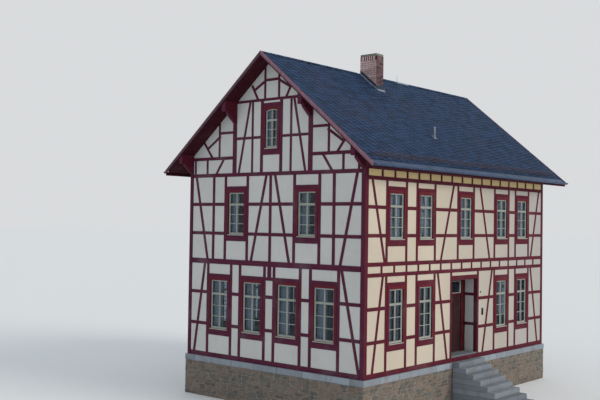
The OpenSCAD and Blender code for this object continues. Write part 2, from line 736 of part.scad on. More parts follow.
module ridge_cap() color("#4a505c") set_out() {
    low = ridge_z + roof_gap - pitch*ridge_cap_w;
    mid = ridge_z + roof_gap - pitch*joint_gap/2;
    clear = flashing_t + joint_gap;
    for (x = [[-verge_out, chimney_x - clear], [chimney_x + chimney_l + clear, wall_l + verge_out]])
        translate([x[0], half_w, 0]) rotate([90, 0, 90]) linear_extrude(x[1] - x[0]) both_sides()
            polygon([[joint_gap/2, mid], [ridge_cap_w, low], [ridge_cap_w, low + ridge_cap_t],
                [joint_gap/2, mid + ridge_cap_t]]);
}
module barge_boards() color("#6b1f24") set_out()
    for (x = [-verge_out - barge_t, wall_l + verge_out], s = [-1, 1]) {
        top = ridge_z + 15;
        u0 = s*joint_gap/2;
        u1 = s*(eaves_u + 20);
        foot = gutter_z - gutter_r;
        u2 = s*(top - barge_h - foot)/pitch;
        translate([x, half_w, 0]) rotate([90, 0, 90]) linear_extrude(barge_t)
            polygon([[u0, top - barge_h - pitch*abs(u0)], [u2, foot], [u1, foot],
                [u1, top - pitch*abs(u1)], [u0, top - pitch*abs(u0)]]);
    }
module purlins() color("#6b1f24") set_out() translate([-verge_out, half_w, 0]) rotate([90, 0, 90])
    linear_extrude(wall_l + 2*verge_out) {
        gable_purlins_2d();
        both_sides() polygon([[inner_u, purlin_z], [half_w, purlin_z], [half_w, rake(half_w)],
            [inner_u, rake(inner_u)]]);
    }
module knee(h) linear_extrude(knee_t, center = true) difference() {
    polygon([[0, 0], [knee_out, 0], [knee_out, -60], [60, -h], [0, -h]]);
    translate([knee_out + 40, -h - 20]) circle(r = min(knee_out - 60, h - 100), $fn = 64);
}
module knee_brackets() color("#6b1f24") set_out() {
    low_z = min(rake(queen_u - purlin_w/2), rake(queen_u + purlin_w/2)) - purlin_h;
    for (side = [0, 1], s = [-1, 1]) {
        translate([side*wall_l, half_w, 0]) mirror([1 - side, 0, 0]) {
            translate([0, s*queen_u, low_z]) rotate([90, 0, 0]) knee(knee_h);
            translate([0, s*(half_w - corner_t/2), purlin_z]) rotate([90, 0, 0]) knee(knee_h);
        }
    }
}
module gutters() color("#7f8fa3") set_out() for (s = [-1, 1])
    translate([-verge_out, half_w + s*(eaves_u + gutter_r + gutter_gap), gutter_z])
        rotate([90, 0, 90]) linear_extrude(wall_l + 2*verge_out) difference() {
            circle(r = gutter_r, $fn = 32);
            circle(r = gutter_r - 4, $fn = 32);
            translate([-gutter_r, 0]) square(2*gutter_r);
        }

// Chimney and fittings
module chimney() color("#8c4a3c") set_out() chimney_core(0);
module chimney_cap() color("#8c4a3c") set_out() {
    x1 = chimney_x + chimney_l;
    y0 = half_w - chimney_d - 30;
    y1 = half_w - 30;
    slab_z = shaft_top + neck_h;
    box3([chimney_x + neck_in, y0 + neck_in, shaft_top], [x1 - neck_in, y1 - neck_in, slab_z - joint_gap]);
    box3([chimney_x, y0, slab_z], [x1, y1, slab_z + slab_h]);
}
module chimney_flashing() color("#8f98a3") set_out() {
    t = flashing_t;
    h = flashing_h;
    u0 = -chimney_d - 30;
    u1 = -30;
    for (x = [chimney_x - t, chimney_x + chimney_l]) translate([x, half_w, 0]) rotate([90, 0, 90])
        linear_extrude(t) polygon([[u0, ridge_z + pitch*u0], [u1, ridge_z + pitch*u1],
            [u1, ridge_z + pitch*u1 + h], [u0, ridge_z + pitch*u0 + h]]);
    intersection() {
        above_slates();
        translate([chimney_x - 40, half_w + u0 - t - joint_gap, ridge_z + pitch*(u0 - 20)])
            cube([chimney_l + 80, t, h]);
    }
}
module roof_vent() color("#59616c") set_out() intersection() {
    above_slates();
    bury_h = 100;
    translate([vent_x, vent_y, ridge_z - pitch*(half_w - vent_y) - bury_h])
        cylinder(r = vent_r, h = vent_h + bury_h, $fn = 24);
}

plinth();
plinth_cap();
entrance_steps();
ground_floor();
upper_floor();
attic_floor();
floor_joists();
front_posts();
front_beams();
front_braces();
front_infill();
back_posts();
back_beams();
back_braces();
back_infill();
left_gable_posts();
left_gable_beams();
left_gable_braces();
left_gable_infill();
right_gable_posts();
right_gable_beams();
right_gable_braces();
right_gable_infill();
window_casings();
window_sashes();
window_glass();
porch_floor();
porch_timbers();
porch_panels();
porch_ceiling();
door_frame();
door_leaf();
door_handle();
door_hinges();
leaf_hinges();
roof_deck();
front_slates();
back_slates();
ridge_cap();
barge_boards();
purlins();
knee_brackets();
gutters();
chimney();
chimney_cap();
chimney_flashing();
roof_vent();
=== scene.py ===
"""A two-storey half timbered house on a stone plinth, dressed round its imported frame.

Run as a script in Blender 4.5. Sizes are in metres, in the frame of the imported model.
"""

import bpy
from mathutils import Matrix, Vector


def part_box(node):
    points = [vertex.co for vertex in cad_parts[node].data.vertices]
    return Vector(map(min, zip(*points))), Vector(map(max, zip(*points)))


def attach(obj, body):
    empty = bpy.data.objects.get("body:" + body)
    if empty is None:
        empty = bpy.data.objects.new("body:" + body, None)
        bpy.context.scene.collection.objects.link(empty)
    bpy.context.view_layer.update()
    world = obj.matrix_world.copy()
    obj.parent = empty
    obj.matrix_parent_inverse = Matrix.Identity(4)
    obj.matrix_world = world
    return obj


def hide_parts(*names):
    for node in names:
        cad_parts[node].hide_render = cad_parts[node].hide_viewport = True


bl_info = {
    "name": "Half Timbered House",
    "version": (1, 0, 0),
    "blender": (4, 5, 0),
    "location": "3D View > Sidebar > House",
    "description": "Slates, stones, bricks, windows and finishes for a half timbered house",
    "category": "Object",
}

import math
import random

import bmesh
import bpy
import numpy as np
from mathutils import Matrix, Vector

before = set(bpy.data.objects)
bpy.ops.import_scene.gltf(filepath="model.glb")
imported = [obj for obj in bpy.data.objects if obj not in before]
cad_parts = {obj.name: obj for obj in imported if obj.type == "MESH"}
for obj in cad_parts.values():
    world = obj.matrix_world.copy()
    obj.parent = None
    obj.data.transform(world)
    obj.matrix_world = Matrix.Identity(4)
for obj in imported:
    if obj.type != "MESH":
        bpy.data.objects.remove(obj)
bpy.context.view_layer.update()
HOUSE, DOOR = "house", "door"
IDENTITY = Matrix()

# Places read from the frame

CAP_LOW, CAP_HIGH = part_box("plinth_cap")
WALL_LOW = Vector((*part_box("front_posts")[0].xy, CAP_HIGH.z))
WALL_HIGH = Vector((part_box("front_posts")[1].x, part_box("back_posts")[1].y, CAP_HIGH.z))
MIDDLE_Y = (WALL_LOW.y + WALL_HIGH.y) / 2
SLATES_LOW, SLATES_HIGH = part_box("front_slates")
ROOF_LEFT, ROOF_RIGHT = SLATES_LOW.x, SLATES_HIGH.x
CHIMNEY_LOW, CHIMNEY_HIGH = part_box("chimney")
JOISTS_LOW_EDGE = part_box("floor_joists")[1].z - 0.22

# The roof: half its span, its rise for each metre, and its length up the slope
RUN = MIDDLE_Y - SLATES_LOW.y
PITCH = 0.827
STEEP = math.hypot(1, PITCH)
TOP = SLATES_HIGH.z
SLOPE_LENGTH = math.hypot(RUN, PITCH * RUN)

# The two slopes, each with the side of the ridge that it lies on
SLOPES = {"front": -1, "back": 1}

# Each wall's axes: to the right and outwards
WALL_AXES = {
    "front": ((1, 0, 0), (0, -1, 0)),
    "back": ((-1, 0, 0), (0, 1, 0)),
    "left": ((0, -1, 0), (-1, 0, 0)),
    "right": ((0, 1, 0), (1, 0, 0)),
}


def srgb(*rgb):
    """A colour written as 0 to 255, as the linear values that Blender keeps."""
    shares = [c / 255 for c in rgb]
    return tuple(c / 12.92 if c < 0.04045 else ((c + 0.055) / 1.055) ** 2.4 for c in shares)


def opaque(*rgb):
    return (*srgb(*rgb), 1.0)


def length(name, description, default):
    return bpy.props.FloatProperty(
        name=name, description=description, default=default, unit="LENGTH", precision=3)


def colour(name, description, *default):
    return bpy.props.FloatVectorProperty(
        name=name, description=description, default=srgb(*default), subtype="COLOR", size=3, min=0, max=1)


class HouseSizes(bpy.types.PropertyGroup):
    """Sizes of the small parts that dress the frame."""

    slate_width: length("Slate width", "Width of a roofing slate", 0.30)
    slate_gauge: length("Slate gauge", "Distance between two courses of slates, up the slope", 0.14)
    strip_width: length("Eaves strip", "Width of the zinc strip under the first course of slates", 0.21)
    guard_height: length("Snow guard", "Height of the snow guard over the slates", 0.17)
    rafter_step: length("Rafter spacing", "Distance between rafters, and between gutter brackets", 0.661)
    board_width: length("Roof board", "Width of a board under the slates", 0.14)
    barge_depth: length("Barge board", "Depth of the barge boards, measured plumb", 0.128)
    stone_length: length("Stone length", "Mean length of a stone in the rubble plinth", 0.26)
    cap_length: length("Cap stone length", "Mean length of a cap stone", 0.95)
    brick_length: length("Brick length", "Length of a brick with its joint", 0.225)
    brick_height: length("Brick height", "Height of a brick with its joint", 0.072)
    casing_width: length("Casing", "Width of the casing beside and over a window", 0.10)
    outer_frame: length("Window frame", "Width of the outer members of a window", 0.026)
    stile_width: length("Window stile", "Width of the members of a casement", 0.020)
    bar_width: length("Glazing bar", "Width of a glazing bar", 0.019)


class HouseColours(bpy.types.PropertyGroup):
    """Colours of the finishes."""

    plaster: colour("Plaster", "Lime plaster between the timbers", 202, 201, 198)
    # Painted light: the front wall's plaster made warm, as if in warm sunlight
    warm_plaster: colour("Front plaster", "Lime plaster on the front wall, near the gable", 204, 191, 172)
    # Painted shade: the front plaster turns greyer and darker towards its far end
    shaded_front_plaster: colour("Far front plaster", "Lime plaster on the front wall, at its far end", 176, 170, 166)
    # Painted light: a pale warm tint for bounced light between the attic joists, bright enough to lift the
    # shade under the eaves
    lit_ochre: colour("Ochre", "Lime wash between the attic joists on the front", 238, 210, 152)
    timber: colour("Timber", "Oxblood paint on the timbers", 88, 25, 42)
    # Painted light: the front slope's barge boards painted pale as if lit; the back ones get this colour
    # darkened as painted shade
    barge: colour("Faded boards", "Sun-bleached paint on the barge boards of the front slope", 148, 86, 94)
    casing: colour("Casing", "Paint on the window casings", 100, 18, 33)
    frame_paint: colour("Window paint", "Paint on the window frames", 170, 172, 164)
    glass: colour("Glass", "Tint of the window glass", 58, 70, 82)
    slate: colour("Slate", "Split slate", 33, 51, 78)
    cap_stone: colour("Cap stone", "Dressed stone on the plinth", 140, 148, 158)
    rubble: colour("Rubble", "Stones of the plinth wall", 118, 112, 104)
    mortar: colour("Mortar", "Lime mortar of the plinth and the chimney", 146, 138, 128)
    brick: colour("Brick", "Chimney brick", 96, 62, 70)
    slab: colour("Chimney slab", "Slab over the chimney", 138, 140, 130)
    soot: colour("Soot", "Core of the chimney's head", 44, 42, 44)
    zinc: colour("Zinc", "Gutters and eaves strips", 66, 86, 118)
    lead: colour("Lead", "Flashings and vent", 148, 160, 176)
    guard: colour("Snow guard", "Rusted iron of the snow guard", 92, 74, 80)
    brass: colour("Brass", "Door handle and curtain rods", 176, 150, 92)
    iron: colour("Iron", "Hinges and small fittings", 46, 44, 44)
    # The door's own dark brown paint, darkened further as painted shade of the porch
    door: colour("Door", "Paint on the door leaf", 50, 25, 27)
    boards: colour("Porch boards", "Ceiling of the porch", 122, 72, 48)
    floor: colour("Floor boards", "Floors behind the windows", 110, 90, 68)
    curtain: colour("Curtain", "Curtains behind the windows", 226, 232, 240)
    ground: colour("Ground", "Floor of the stage", 243, 244, 245)


def sizes():
    return bpy.context.scene.house_sizes


def shade(rgb, factor):
    """The same colour, darker or lighter."""
    return (*(min(1.0, c * factor) for c in rgb[:3]), 1.0)


def tint(name, factor=1.0):
    """A colour of the panel, darker or lighter by a factor."""
    return shade(getattr(bpy.context.scene.house_colours, name), factor)


# Shader nodes

def arithmetic(operation):
    """A method of a wire that adds a Math node."""
    def method(self, *others):
        inputs = {f"i{k}": value for k, value in enumerate((self, *others))}
        return self.finish.node("Math", {"operation": operation}, **inputs)
    return method


class Wire:
    """A node's output. Arithmetic on it adds Math nodes."""

    __add__ = __radd__ = arithmetic("ADD")
    __sub__ = arithmetic("SUBTRACT")
    __mul__ = __rmul__ = arithmetic("MULTIPLY")
    __truediv__ = arithmetic("DIVIDE")
    __abs__ = arithmetic("ABSOLUTE")
    above = arithmetic("GREATER_THAN")
    fraction = arithmetic("FRACT")

    def __init__(self, finish, socket):
        self.finish = finish
        self.socket = socket

    def smooth(self, low, high):
        """From 0 at low to 1 at high, with soft ends."""
        settings = {"interpolation_type": "SMOOTHSTEP"}
        return self.finish.node("MapRange", settings, Value=self, From_Min=low, From_Max=high)


class Finish:
    """One material, built from nodes."""

    def __init__(self, name, roughness=0.7, metallic=0.0):
        self.material = bpy.data.materials.new(name)
        self.material.use_nodes = True
        self.tree = self.material.node_tree
        self.shader = self.tree.nodes["Principled BSDF"]
        self.set(Roughness=roughness, Metallic=metallic)
        self.place = self.node("TexCoord", out="Object")

    @staticmethod
    def pick(sockets, name):
        """A socket by its place, as i0, or by its identifier or name."""
        if name[0] == "i" and name[1:].isdigit():
            return sockets[int(name[1:])]
        for socket in sockets:
            if socket.identifier == name:
                return socket
        return sockets[name.replace("_", " ")]

    def fill(self, sockets, values):
        for name, value in values.items():
            socket = self.pick(sockets, name)
            if isinstance(value, Wire):
                self.tree.links.new(value.socket, socket)
            else:
                socket.default_value = value

    def node(self, kind, settings=None, out="i0", **values):
        """Adds a node of any type, with its settings first, and wraps one of its outputs."""
        made = self.tree.nodes.new("ShaderNode" + kind)
        for name, value in (settings or {}).items():
            setattr(made, name, value)
        self.fill(made.inputs, values)
        return Wire(self, self.pick(made.outputs, out))

    def set(self, **values):
        self.fill(self.shader.inputs, values)

    def mix(self, factor, a, b, blend="MIX"):
        settings = {"data_type": "RGBA", "blend_type": blend}
        return self.node("Mix", settings, out="Result_Color", Factor_Float=factor, A_Color=a, B_Color=b)

    def shades(self, factor, base, dark, light):
        """Between two shades of one colour."""
        return self.mix(factor, shade(base, dark), shade(base, light))

    def noise(self, scale, detail=3.0, rough=0.5, stretch=None):
        """Noise over the piece, drawn out along an axis where stretch is small."""
        place = self.node("Mapping", Vector=self.place, Scale=stretch) if stretch else self.place
        return self.node("TexNoise", out="Fac", Vector=place, Scale=scale, Detail=detail, Roughness=rough)

    def tone(self):
        """The tone that each stone, brick or slate was laid with."""
        return self.node("Attribute", {"attribute_name": "tone"}, out="Fac")

    def axis(self, number, source=None):
        """One coordinate of the place on the piece, or of another vector."""
        return self.node("SeparateXYZ", out=f"i{number}", Vector=source or self.place)

    def gable_side(self):
        """1 on the faces that look towards a gable, 0 on the others."""
        return abs(self.axis(0, self.node("TexCoord", out="Normal"))).above(0.5)

    def bump(self, height, strength, distance):
        """Sets the relief, and hands over the material."""
        self.set(Normal=self.node("Bump", Height=height, Strength=strength, Distance=distance))
        return self.material


UP, ALONG, ACROSS = (3.2, 3.2, 0.22), (0.22, 3.2, 3.2), (3.2, 0.22, 3.2)


def painted_wood(name, base, stretch, rough=0.70, worn=0.22):
    """Weathered paint over wood, its grain along the axis where stretch is small, with painted shade on the
    gables: a cool blue tint of skylight shade on the faces towards them.
    """
    f = Finish(name, rough)
    grain = f.noise(7.0, 6.0, 0.62, stretch)
    cracks = f.noise(22.0, 3.0, 0.7, stretch).smooth(0.60, 0.74)
    patches = f.noise(1.1, 4.0, 0.6)
    body = f.shades(grain.smooth(0.30, 0.72), base, 0.74, 1.22)
    faded = f.mix(patches.smooth(0.48, 0.75) * worn, body, (0.21, 0.12, 0.125, 1.0))
    dark = f.mix(cracks * 0.55, faded, shade(base, 0.34))
    # Painted shade: the faces towards the gables are tinted blue-purple, as if in cool skylight shade
    cool_shade = f.mix(1.0, dark, (0.92, 1.6, 1.7, 1.0), "MULTIPLY")
    f.set(Base_Color=f.mix(f.gable_side(), dark, cool_shade), Roughness=rough + 0.16 * grain - 0.06,
          Specular_IOR_Level=0.14)
    return f.bump(grain * 0.55 - cracks * 0.6, 0.45, 0.006)


def plaster(name, base, strip=None):
    """Lime plaster with soft trowel marks, faint stains and fine grain; on the front, painted light and
    shade: warm near the gable, greyer towards the far end, and a pale warm tint above the height of a strip.
    """
    f = Finish(name, 0.86)
    if strip:
        # Painted light and shade: warm near the gable, greyer and darker towards the far end of the front
        wall = f.mix(f.axis(0).smooth(-3.5, 5.5), base, tint("shaded_front_plaster"))
        # Painted light: above the strip the plaster takes the pale warm tint of bounced light
        base = f.mix(f.axis(2).above(strip), wall, tint("lit_ochre"))
    broad = f.noise(0.55, 4.0, 0.55)
    trowel = f.noise(5.5, 5.0, 0.6, (1.0, 1.0, 0.55))
    grain = f.noise(95.0, 2.0, 0.6)
    drips = f.noise(9.0, 3.0, 0.6, (1.0, 1.0, 0.07))
    cloud = f.shades(broad.smooth(0.35, 0.68), (1.0, 1.0, 1.0), 0.92, 1.0)
    body = f.mix(1.0, base, cloud, "MULTIPLY")
    stained = f.mix(trowel.smooth(0.52, 0.78) * 0.22, body, (0.46, 0.42, 0.36, 1.0))
    streaked = f.mix(drips.smooth(0.56, 0.80) * 0.18, stained, (0.36, 0.35, 0.34, 1.0))
    f.set(Base_Color=streaked, Roughness=0.80 + 0.12 * trowel)
    return f.bump(trowel * 0.8 + grain * 0.2, 0.35, 0.006)


def split_slate(name, base):
    """Split slate: each slate has its own tone, with painted light and shade in it, cleft ridges and a little
    lichen.
    """
    f = Finish(name, 0.55)
    tone = f.tone()
    cleft = f.noise(16.0, 5.0, 0.65, (1.0, 0.4, 0.4))
    broad = f.noise(0.35, 3.0, 0.6)
    # The tone holds the painted highlight and shadows of each slate
    body = f.shades(tone, base, 0.10, 2.3)
    aged = f.mix(broad.smooth(0.50, 0.70) * 0.20, body, opaque(66, 60, 76))
    spotted = f.mix(cleft.smooth(0.66, 0.84) * 0.10, aged, opaque(112, 124, 142))
    f.set(Base_Color=spotted, Roughness=0.55 + 0.22 * cleft + 0.10 * tone, Specular_IOR_Level=0.12)
    return f.bump(cleft, 0.35, 0.004)


def rubble(name, base):
    """Field stones in grey and brown, each of its own tone."""
    f = Finish(name, 0.88)
    tone = f.tone()
    pits = f.noise(26.0, 6.0, 0.65)
    veins = f.noise(6.0, 4.0, 0.6, (1.0, 1.0, 2.2))
    body = f.shades(tone, base, 0.55, 1.42)
    brown = f.mix(tone.smooth(0.35, 0.60) * 0.6, body, opaque(120, 96, 78))
    grey = f.mix(veins.smooth(0.50, 0.72) * 0.5, brown, opaque(134, 136, 136))
    f.set(Base_Color=f.mix(pits.smooth(0.30, 0.50), shade(base, 0.42), grey))
    return f.bump(pits + veins * 0.5, 0.7, 0.012)


def dressed_stone(name, base):
    """Tooled stone with pecked faces and faint weather stains."""
    f = Finish(name, 0.80)
    pecks = f.noise(48.0, 4.0, 0.7)
    stains = f.noise(2.4, 5.0, 0.62)
    strokes = f.noise(30.0, 2.0, 0.5, (1.0, 1.0, 0.12))
    body = f.shades(f.tone(), base, 0.80, 1.16)
    stained = f.mix(stains.smooth(0.46, 0.72) * 0.55, body, opaque(112, 108, 98))
    f.set(Base_Color=f.mix(pecks.smooth(0.25, 0.45), shade(base, 0.62), stained))
    return f.bump(pecks * 0.6 + strokes * 0.4, 0.5, 0.008)


def mortar(name, base):
    """Sanded lime mortar, clouded darker in patches."""
    f = Finish(name, 0.93)
    f.set(Base_Color=f.shades(f.noise(3.0, 4.0, 0.6), base, 0.60, 1.0))
    return f.bump(f.noise(120.0, 3.0, 0.7), 0.5, 0.004)


def bricks(name, base):
    """Fired brick, each of its own tone, with painted light: the two faces towards the gables are painted
    pale as if lit, the others stay dark as if in shade.
    """
    f = Finish(name, 0.84)
    tone = f.tone()
    grit = f.noise(60.0, 4.0, 0.7)
    patches = f.noise(4.0, 4.0, 0.6)
    body = f.shades(tone, base, 0.30, 1.30)
    # Painted light: the faces towards the gables turn pale pink, as lit faces
    lit_sides = f.mix(f.gable_side() * (0.55 + 0.35 * tone), body, opaque(224, 190, 186))
    pale = f.mix(patches.smooth(0.50, 0.75) * 0.15, lit_sides, opaque(150, 116, 116))
    f.set(Base_Color=f.mix(grit.smooth(0.60, 0.80) * 0.4, pale, shade(base, 0.40)))
    return f.bump(grit, 0.5, 0.004)


def sheet_metal(name, base, rough=0.42, metallic=0.75):
    """Dull weathered sheet with clouded patches."""
    f = Finish(name, rough, metallic)
    clouds = f.noise(2.6, 5.0, 0.6)
    runs = f.noise(12.0, 3.0, 0.6, (1.0, 1.0, 0.2))
    body = f.shades(clouds.smooth(0.32, 0.68), base, 0.78, 1.18)
    f.set(Base_Color=f.mix(runs.smooth(0.58, 0.78) * 0.4, body, opaque(150, 156, 160)),
          Roughness=rough + 0.25 * clouds - 0.1)
    return f.bump(clouds, 0.12, 0.004)


def metal(name, base, rough=0.4, metallic=1.0):
    """Cast or drawn fittings, rubbed brighter in patches."""
    f = Finish(name, rough, metallic)
    rub = f.noise(18.0, 4.0, 0.6)
    f.set(Base_Color=f.shades(rub, base, 0.55, 1.25), Roughness=rough + 0.3 * rub - 0.15)
    return f.bump(rub, 0.1, 0.001)


def brushed_paint(name, base):
    """Brushed paint, a little worn, with faint brush marks along the member."""
    f = Finish(name, 0.45)
    brush = f.noise(26.0, 3.0, 0.6, UP)
    dirt = f.noise(3.4, 5.0, 0.6)
    body = f.shades(brush, base, 0.88, 1.08)
    f.set(Base_Color=f.mix(dirt.smooth(0.52, 0.76) * 0.4, body, shade(base, 0.56)),
          Roughness=0.45 + 0.2 * brush - 0.05, Specular_IOR_Level=0.25)
    return f.bump(brush, 0.2, 0.002)


def glass(name, base):
    """Old flat glass that shows the curtains behind it and mirrors the sky."""
    f = Finish(name, 0.05)
    f.set(Base_Color=f.shades(f.noise(1.7, 2.0, 0.5), base, 0.4, 1.0), Specular_IOR_Level=0.7, IOR=1.5)
    clear = f.node("BsdfTransparent", Color=(0.84, 0.90, 0.94, 1.0))
    blend = f.node("MixShader", Fac=0.28, i1=clear, i2=Wire(f, f.shader.outputs[0]))
    f.tree.links.new(blend.socket, f.tree.nodes["Material Output"].inputs["Surface"])
    return f.bump(f.noise(3.2, 2.0, 0.4), 0.25, 0.01)


def cloth(name, base):
    """Net curtain with a fine weave."""
    f = Finish(name, 0.9)
    weave = (f.node("TexWave", out="Fac", Vector=f.place, Scale=160.0) + f.noise(14.0)) * 0.5
    f.set(Base_Color=f.shades(weave, base, 0.84, 1.06))
    return f.bump(weave, 0.2, 0.001)


def boards(name, base, pitch, axis, stretch):
    """Boards laid side by side: dark joints across the given axis and grain along the boards."""
    f = Finish(name, 0.6)
    joint = abs((f.axis(axis) / pitch).fraction() - 0.5).smooth(0.455, 0.49)
    grain = f.noise(9.0, 6.0, 0.6, stretch)
    body = f.shades(grain, base, 0.70, 1.20)
    f.set(Base_Color=f.mix(joint * 0.8, body, shade(base, 0.2)))
    return f.bump(grain * 0.3 - joint, 0.6, 0.006)


# Each finish with its maker, its colour in the panel, how much darker it is, and the maker's own settings
FINISHES = {
    "red_timber_up": (painted_wood, "timber", 1.0, UP),
    "red_timber_along": (painted_wood, "timber", 1.0, ALONG),
    "red_timber_across": (painted_wood, "timber", 1.0, ACROSS),
    # Painted shade: the timber paint darkened to half on the roof boards, for the shade under the eaves and
    # verges
    "soffit_paint": (painted_wood, "timber", 0.5, ALONG, 0.70, 0.1),
    # Painted light and shade: one barge paint lit pale for the front slope, one darkened for the back slope
    "barge_paint": (painted_wood, "barge", 1.0, UP, 0.70, 0.1),
    "dull_barge_paint": (painted_wood, "barge", 0.45, UP, 0.70, 0.1),
    "casing_paint": (painted_wood, "casing", 1.0, UP, 0.5, 0.2),
    # Painted shade: the casing paint darkened on the door frame, for the shade in the porch
    "door_frame_paint": (painted_wood, "casing", 0.4, UP, 0.5, 0.1),
    "door_paint": (painted_wood, "door", 1.0, UP, 0.48, 0.2),
    "lime_plaster": (plaster, "plaster", 1.0),
    "lime_plaster_front": (plaster, "warm_plaster", 1.0, JOISTS_LOW_EDGE),
    "slate": (split_slate, "slate", 1.0),
    "rubble_stone": (rubble, "rubble", 1.0),
    "mortar": (mortar, "mortar", 1.0),
    "stack_mortar": (mortar, "mortar", 0.45),
    "soot": (mortar, "soot", 1.0),
    "cap_stone": (dressed_stone, "cap_stone", 1.0),
    "step_stone": (dressed_stone, "cap_stone", 0.78),
    "chimney_slab": (dressed_stone, "slab", 1.0),
    "red_brick": (bricks, "brick", 1.0),
    "zinc": (sheet_metal, "zinc", 1.0),
    "lead_sheet": (sheet_metal, "lead", 1.0, 0.5, 0.6),
    "pipe_sheet": (sheet_metal, "lead", 0.6, 0.5, 0.3),
    "dark_sheet": (sheet_metal, "slate", 0.8, 0.7, 0.1),
    "snow_guard": (metal, "guard", 1.0, 0.6, 0.5),
    "brass_fittings": (metal, "brass", 1.0),
    "iron_fittings": (metal, "iron", 1.0, 0.55),
    "window_paint": (brushed_paint, "frame_paint", 1.0),
    "window_glass": (glass, "glass", 1.0),
    "curtain": (cloth, "curtain", 1.0),
    "porch_boards": (boards, "boards", 1.0, 0.12, 0, ACROSS),
    "floor_boards": (boards, "floor", 1.0, 0.14, 1, ALONG),
}

MADE = {}


def finish(name):
    """A finish by name, made once."""
    if name not in MADE:
        maker, base, factor, *settings = FINISHES[name]
        MADE[name] = maker(name, tint(base, factor), *settings)
    return MADE[name]


# Meshes

def boxed(centre, size, turn=IDENTITY):
    """Puts a unit cube at a place, with a size and a turn."""
    return Matrix.Translation(centre) @ turn @ Matrix.Diagonal((*size, 1.0))


def block(bm, low, high, bevel=0.0, matrix=IDENTITY):
    """A rectangular block between two corners, with its edges taken off."""
    low, high = Vector(low), Vector(high)
    made = bmesh.ops.create_cube(bm, size=1.0, matrix=matrix @ boxed((low + high) / 2, high - low))
    if bevel:
        edges = list({e for v in made["verts"] for e in v.link_edges})
        bmesh.ops.bevel(bm, geom=edges, offset=bevel, segments=1, profile=0.5, affect="EDGES", material=-1,
                        clamp_overlap=True)


def member(bm, matrix, across, up, out, bevel=0.003):
    """A block between pairs of places across, up and out, in a wall's own axes."""
    low, high = zip(sorted(across), up, out)
    block(bm, low, high, bevel, matrix)


def surround(bm, matrix, across, up, out, wide, foot, head, bevel=0.003):
    """Two uprights, with the rails between them that have a height."""
    (x0, x1), (z0, z1) = sorted(across), up
    for ends in ((x0, x0 + wide), (x1 - wide, x1)):
        member(bm, matrix, ends, up, out, bevel)
    for ends in ((z0, z0 + foot), (z1 - head, z1)):
        if ends[0] < ends[1]:
            member(bm, matrix, (x0 + wide, x1 - wide), ends, out, bevel)


def prism(bm, outline, depth, matrix=IDENTITY):
    """A flat outline of points, extruded straight by depth."""
    face = bm.faces.new([bm.verts.new(matrix @ Vector(p)) for p in outline])
    made = bmesh.ops.extrude_face_region(bm, geom=[face])["geom"]
    verts = [g for g in made if isinstance(g, bmesh.types.BMVert)]
    bmesh.ops.translate(bm, verts=verts, vec=matrix.to_3x3() @ Vector(depth))


def cone(bm, foot, head, depth, matrix, segments=12):
    """A round bar or a cut cone with two radii, along the matrix's height."""
    bmesh.ops.create_cone(bm, cap_ends=True, segments=segments, radius1=foot, radius2=head, depth=depth,
                          matrix=matrix)


def to_mesh(name, bm):
    mesh = bpy.data.meshes.new(name)
    bm.to_mesh(mesh)
    bm.free()
    return mesh


def add_object(name, data):
    made = bpy.data.objects.new(name, data)
    bpy.context.scene.collection.objects.link(made)
    return made


def prototype(build):
    """A small mesh to be laid many times."""
    bm = bmesh.new()
    build(bm)
    bmesh.ops.recalc_face_normals(bm, faces=bm.faces)
    mesh = to_mesh("prototype", bm)
    mesh.attributes.new("tone", "FLOAT", "POINT")
    return mesh


def block_shape(low, high, bevel):
    return prototype(lambda bm: block(bm, low, high, bevel))


def cube_shape(bevel):
    return block_shape((-0.5, -0.5, -0.5), (0.5, 0.5, 0.5), bevel)


# Share of a slate's tone that comes from its painted shading: a painted highlight at the tail and painted
# shadows at the head and along one side
PAINTED_SHADING_SHARE = 0.65


class Layer:
    """Lays copies of prototypes into one mesh, each with its own tone."""

    def __init__(self):
        self.bm = bmesh.new()

    def lay(self, mesh, matrix, painted_shading=None, darkest=0.0):
        """Adds a copy with a random tone, mixed with a painted shading from vertex to vertex if there is one.
        """
        tone = darkest + (1.0 - darkest) * random.random()
        count = len(mesh.vertices)
        kept = np.empty(count * 3, np.float32)
        mesh.vertices.foreach_get("co", kept)
        mesh.transform(matrix)
        tones = np.full(count, tone, np.float32)
        if painted_shading is not None:
            tones = PAINTED_SHADING_SHARE * painted_shading + (1.0 - PAINTED_SHADING_SHARE) * tones
        mesh.attributes["tone"].data.foreach_set("value", tones)
        self.bm.from_mesh(mesh)
        mesh.vertices.foreach_set("co", kept)

    def trim(self, point, outward):
        """Cuts off what lies outside a plane and closes the cuts."""
        everything = [*self.bm.verts, *self.bm.edges, *self.bm.faces]
        bmesh.ops.bisect_plane(self.bm, geom=everything, dist=1e-6, plane_co=point, plane_no=outward,
                               clear_outer=True)
        bmesh.ops.holes_fill(self.bm, edges=[e for e in self.bm.edges if e.is_boundary], sides=0)


def piece(name, bm, material, replaces=(), body=HOUSE, recalc=True):
    """Turns a bmesh into a finished piece that rides on a body of the frame."""
    if recalc:
        bmesh.ops.recalc_face_normals(bm, faces=bm.faces)
    made = add_object(name, to_mesh(name, bm))
    made.data.materials.append(finish(material))
    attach(made, body)
    if replaces:
        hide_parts(*replaces)
    return made


def islands(node):
    """The boxes of the separate solids in a node of the frame, as (low, high) corners."""
    bm = bmesh.new()
    bm.from_mesh(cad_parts[node].data)
    bmesh.ops.remove_doubles(bm, verts=bm.verts, dist=1e-5)
    seen, boxes = set(), []
    for start in bm.verts:
        if start in seen:
            continue
        seen.add(start)
        stack, points = [start], []
        while stack:
            vert = stack.pop()
            points.append(vert.co.copy())
            others = {edge.other_vert(vert) for edge in vert.link_edges} - seen
            seen |= others
            stack += others
        boxes.append((Vector(map(min, zip(*points))), Vector(map(max, zip(*points)))))
    bm.free()
    return boxes


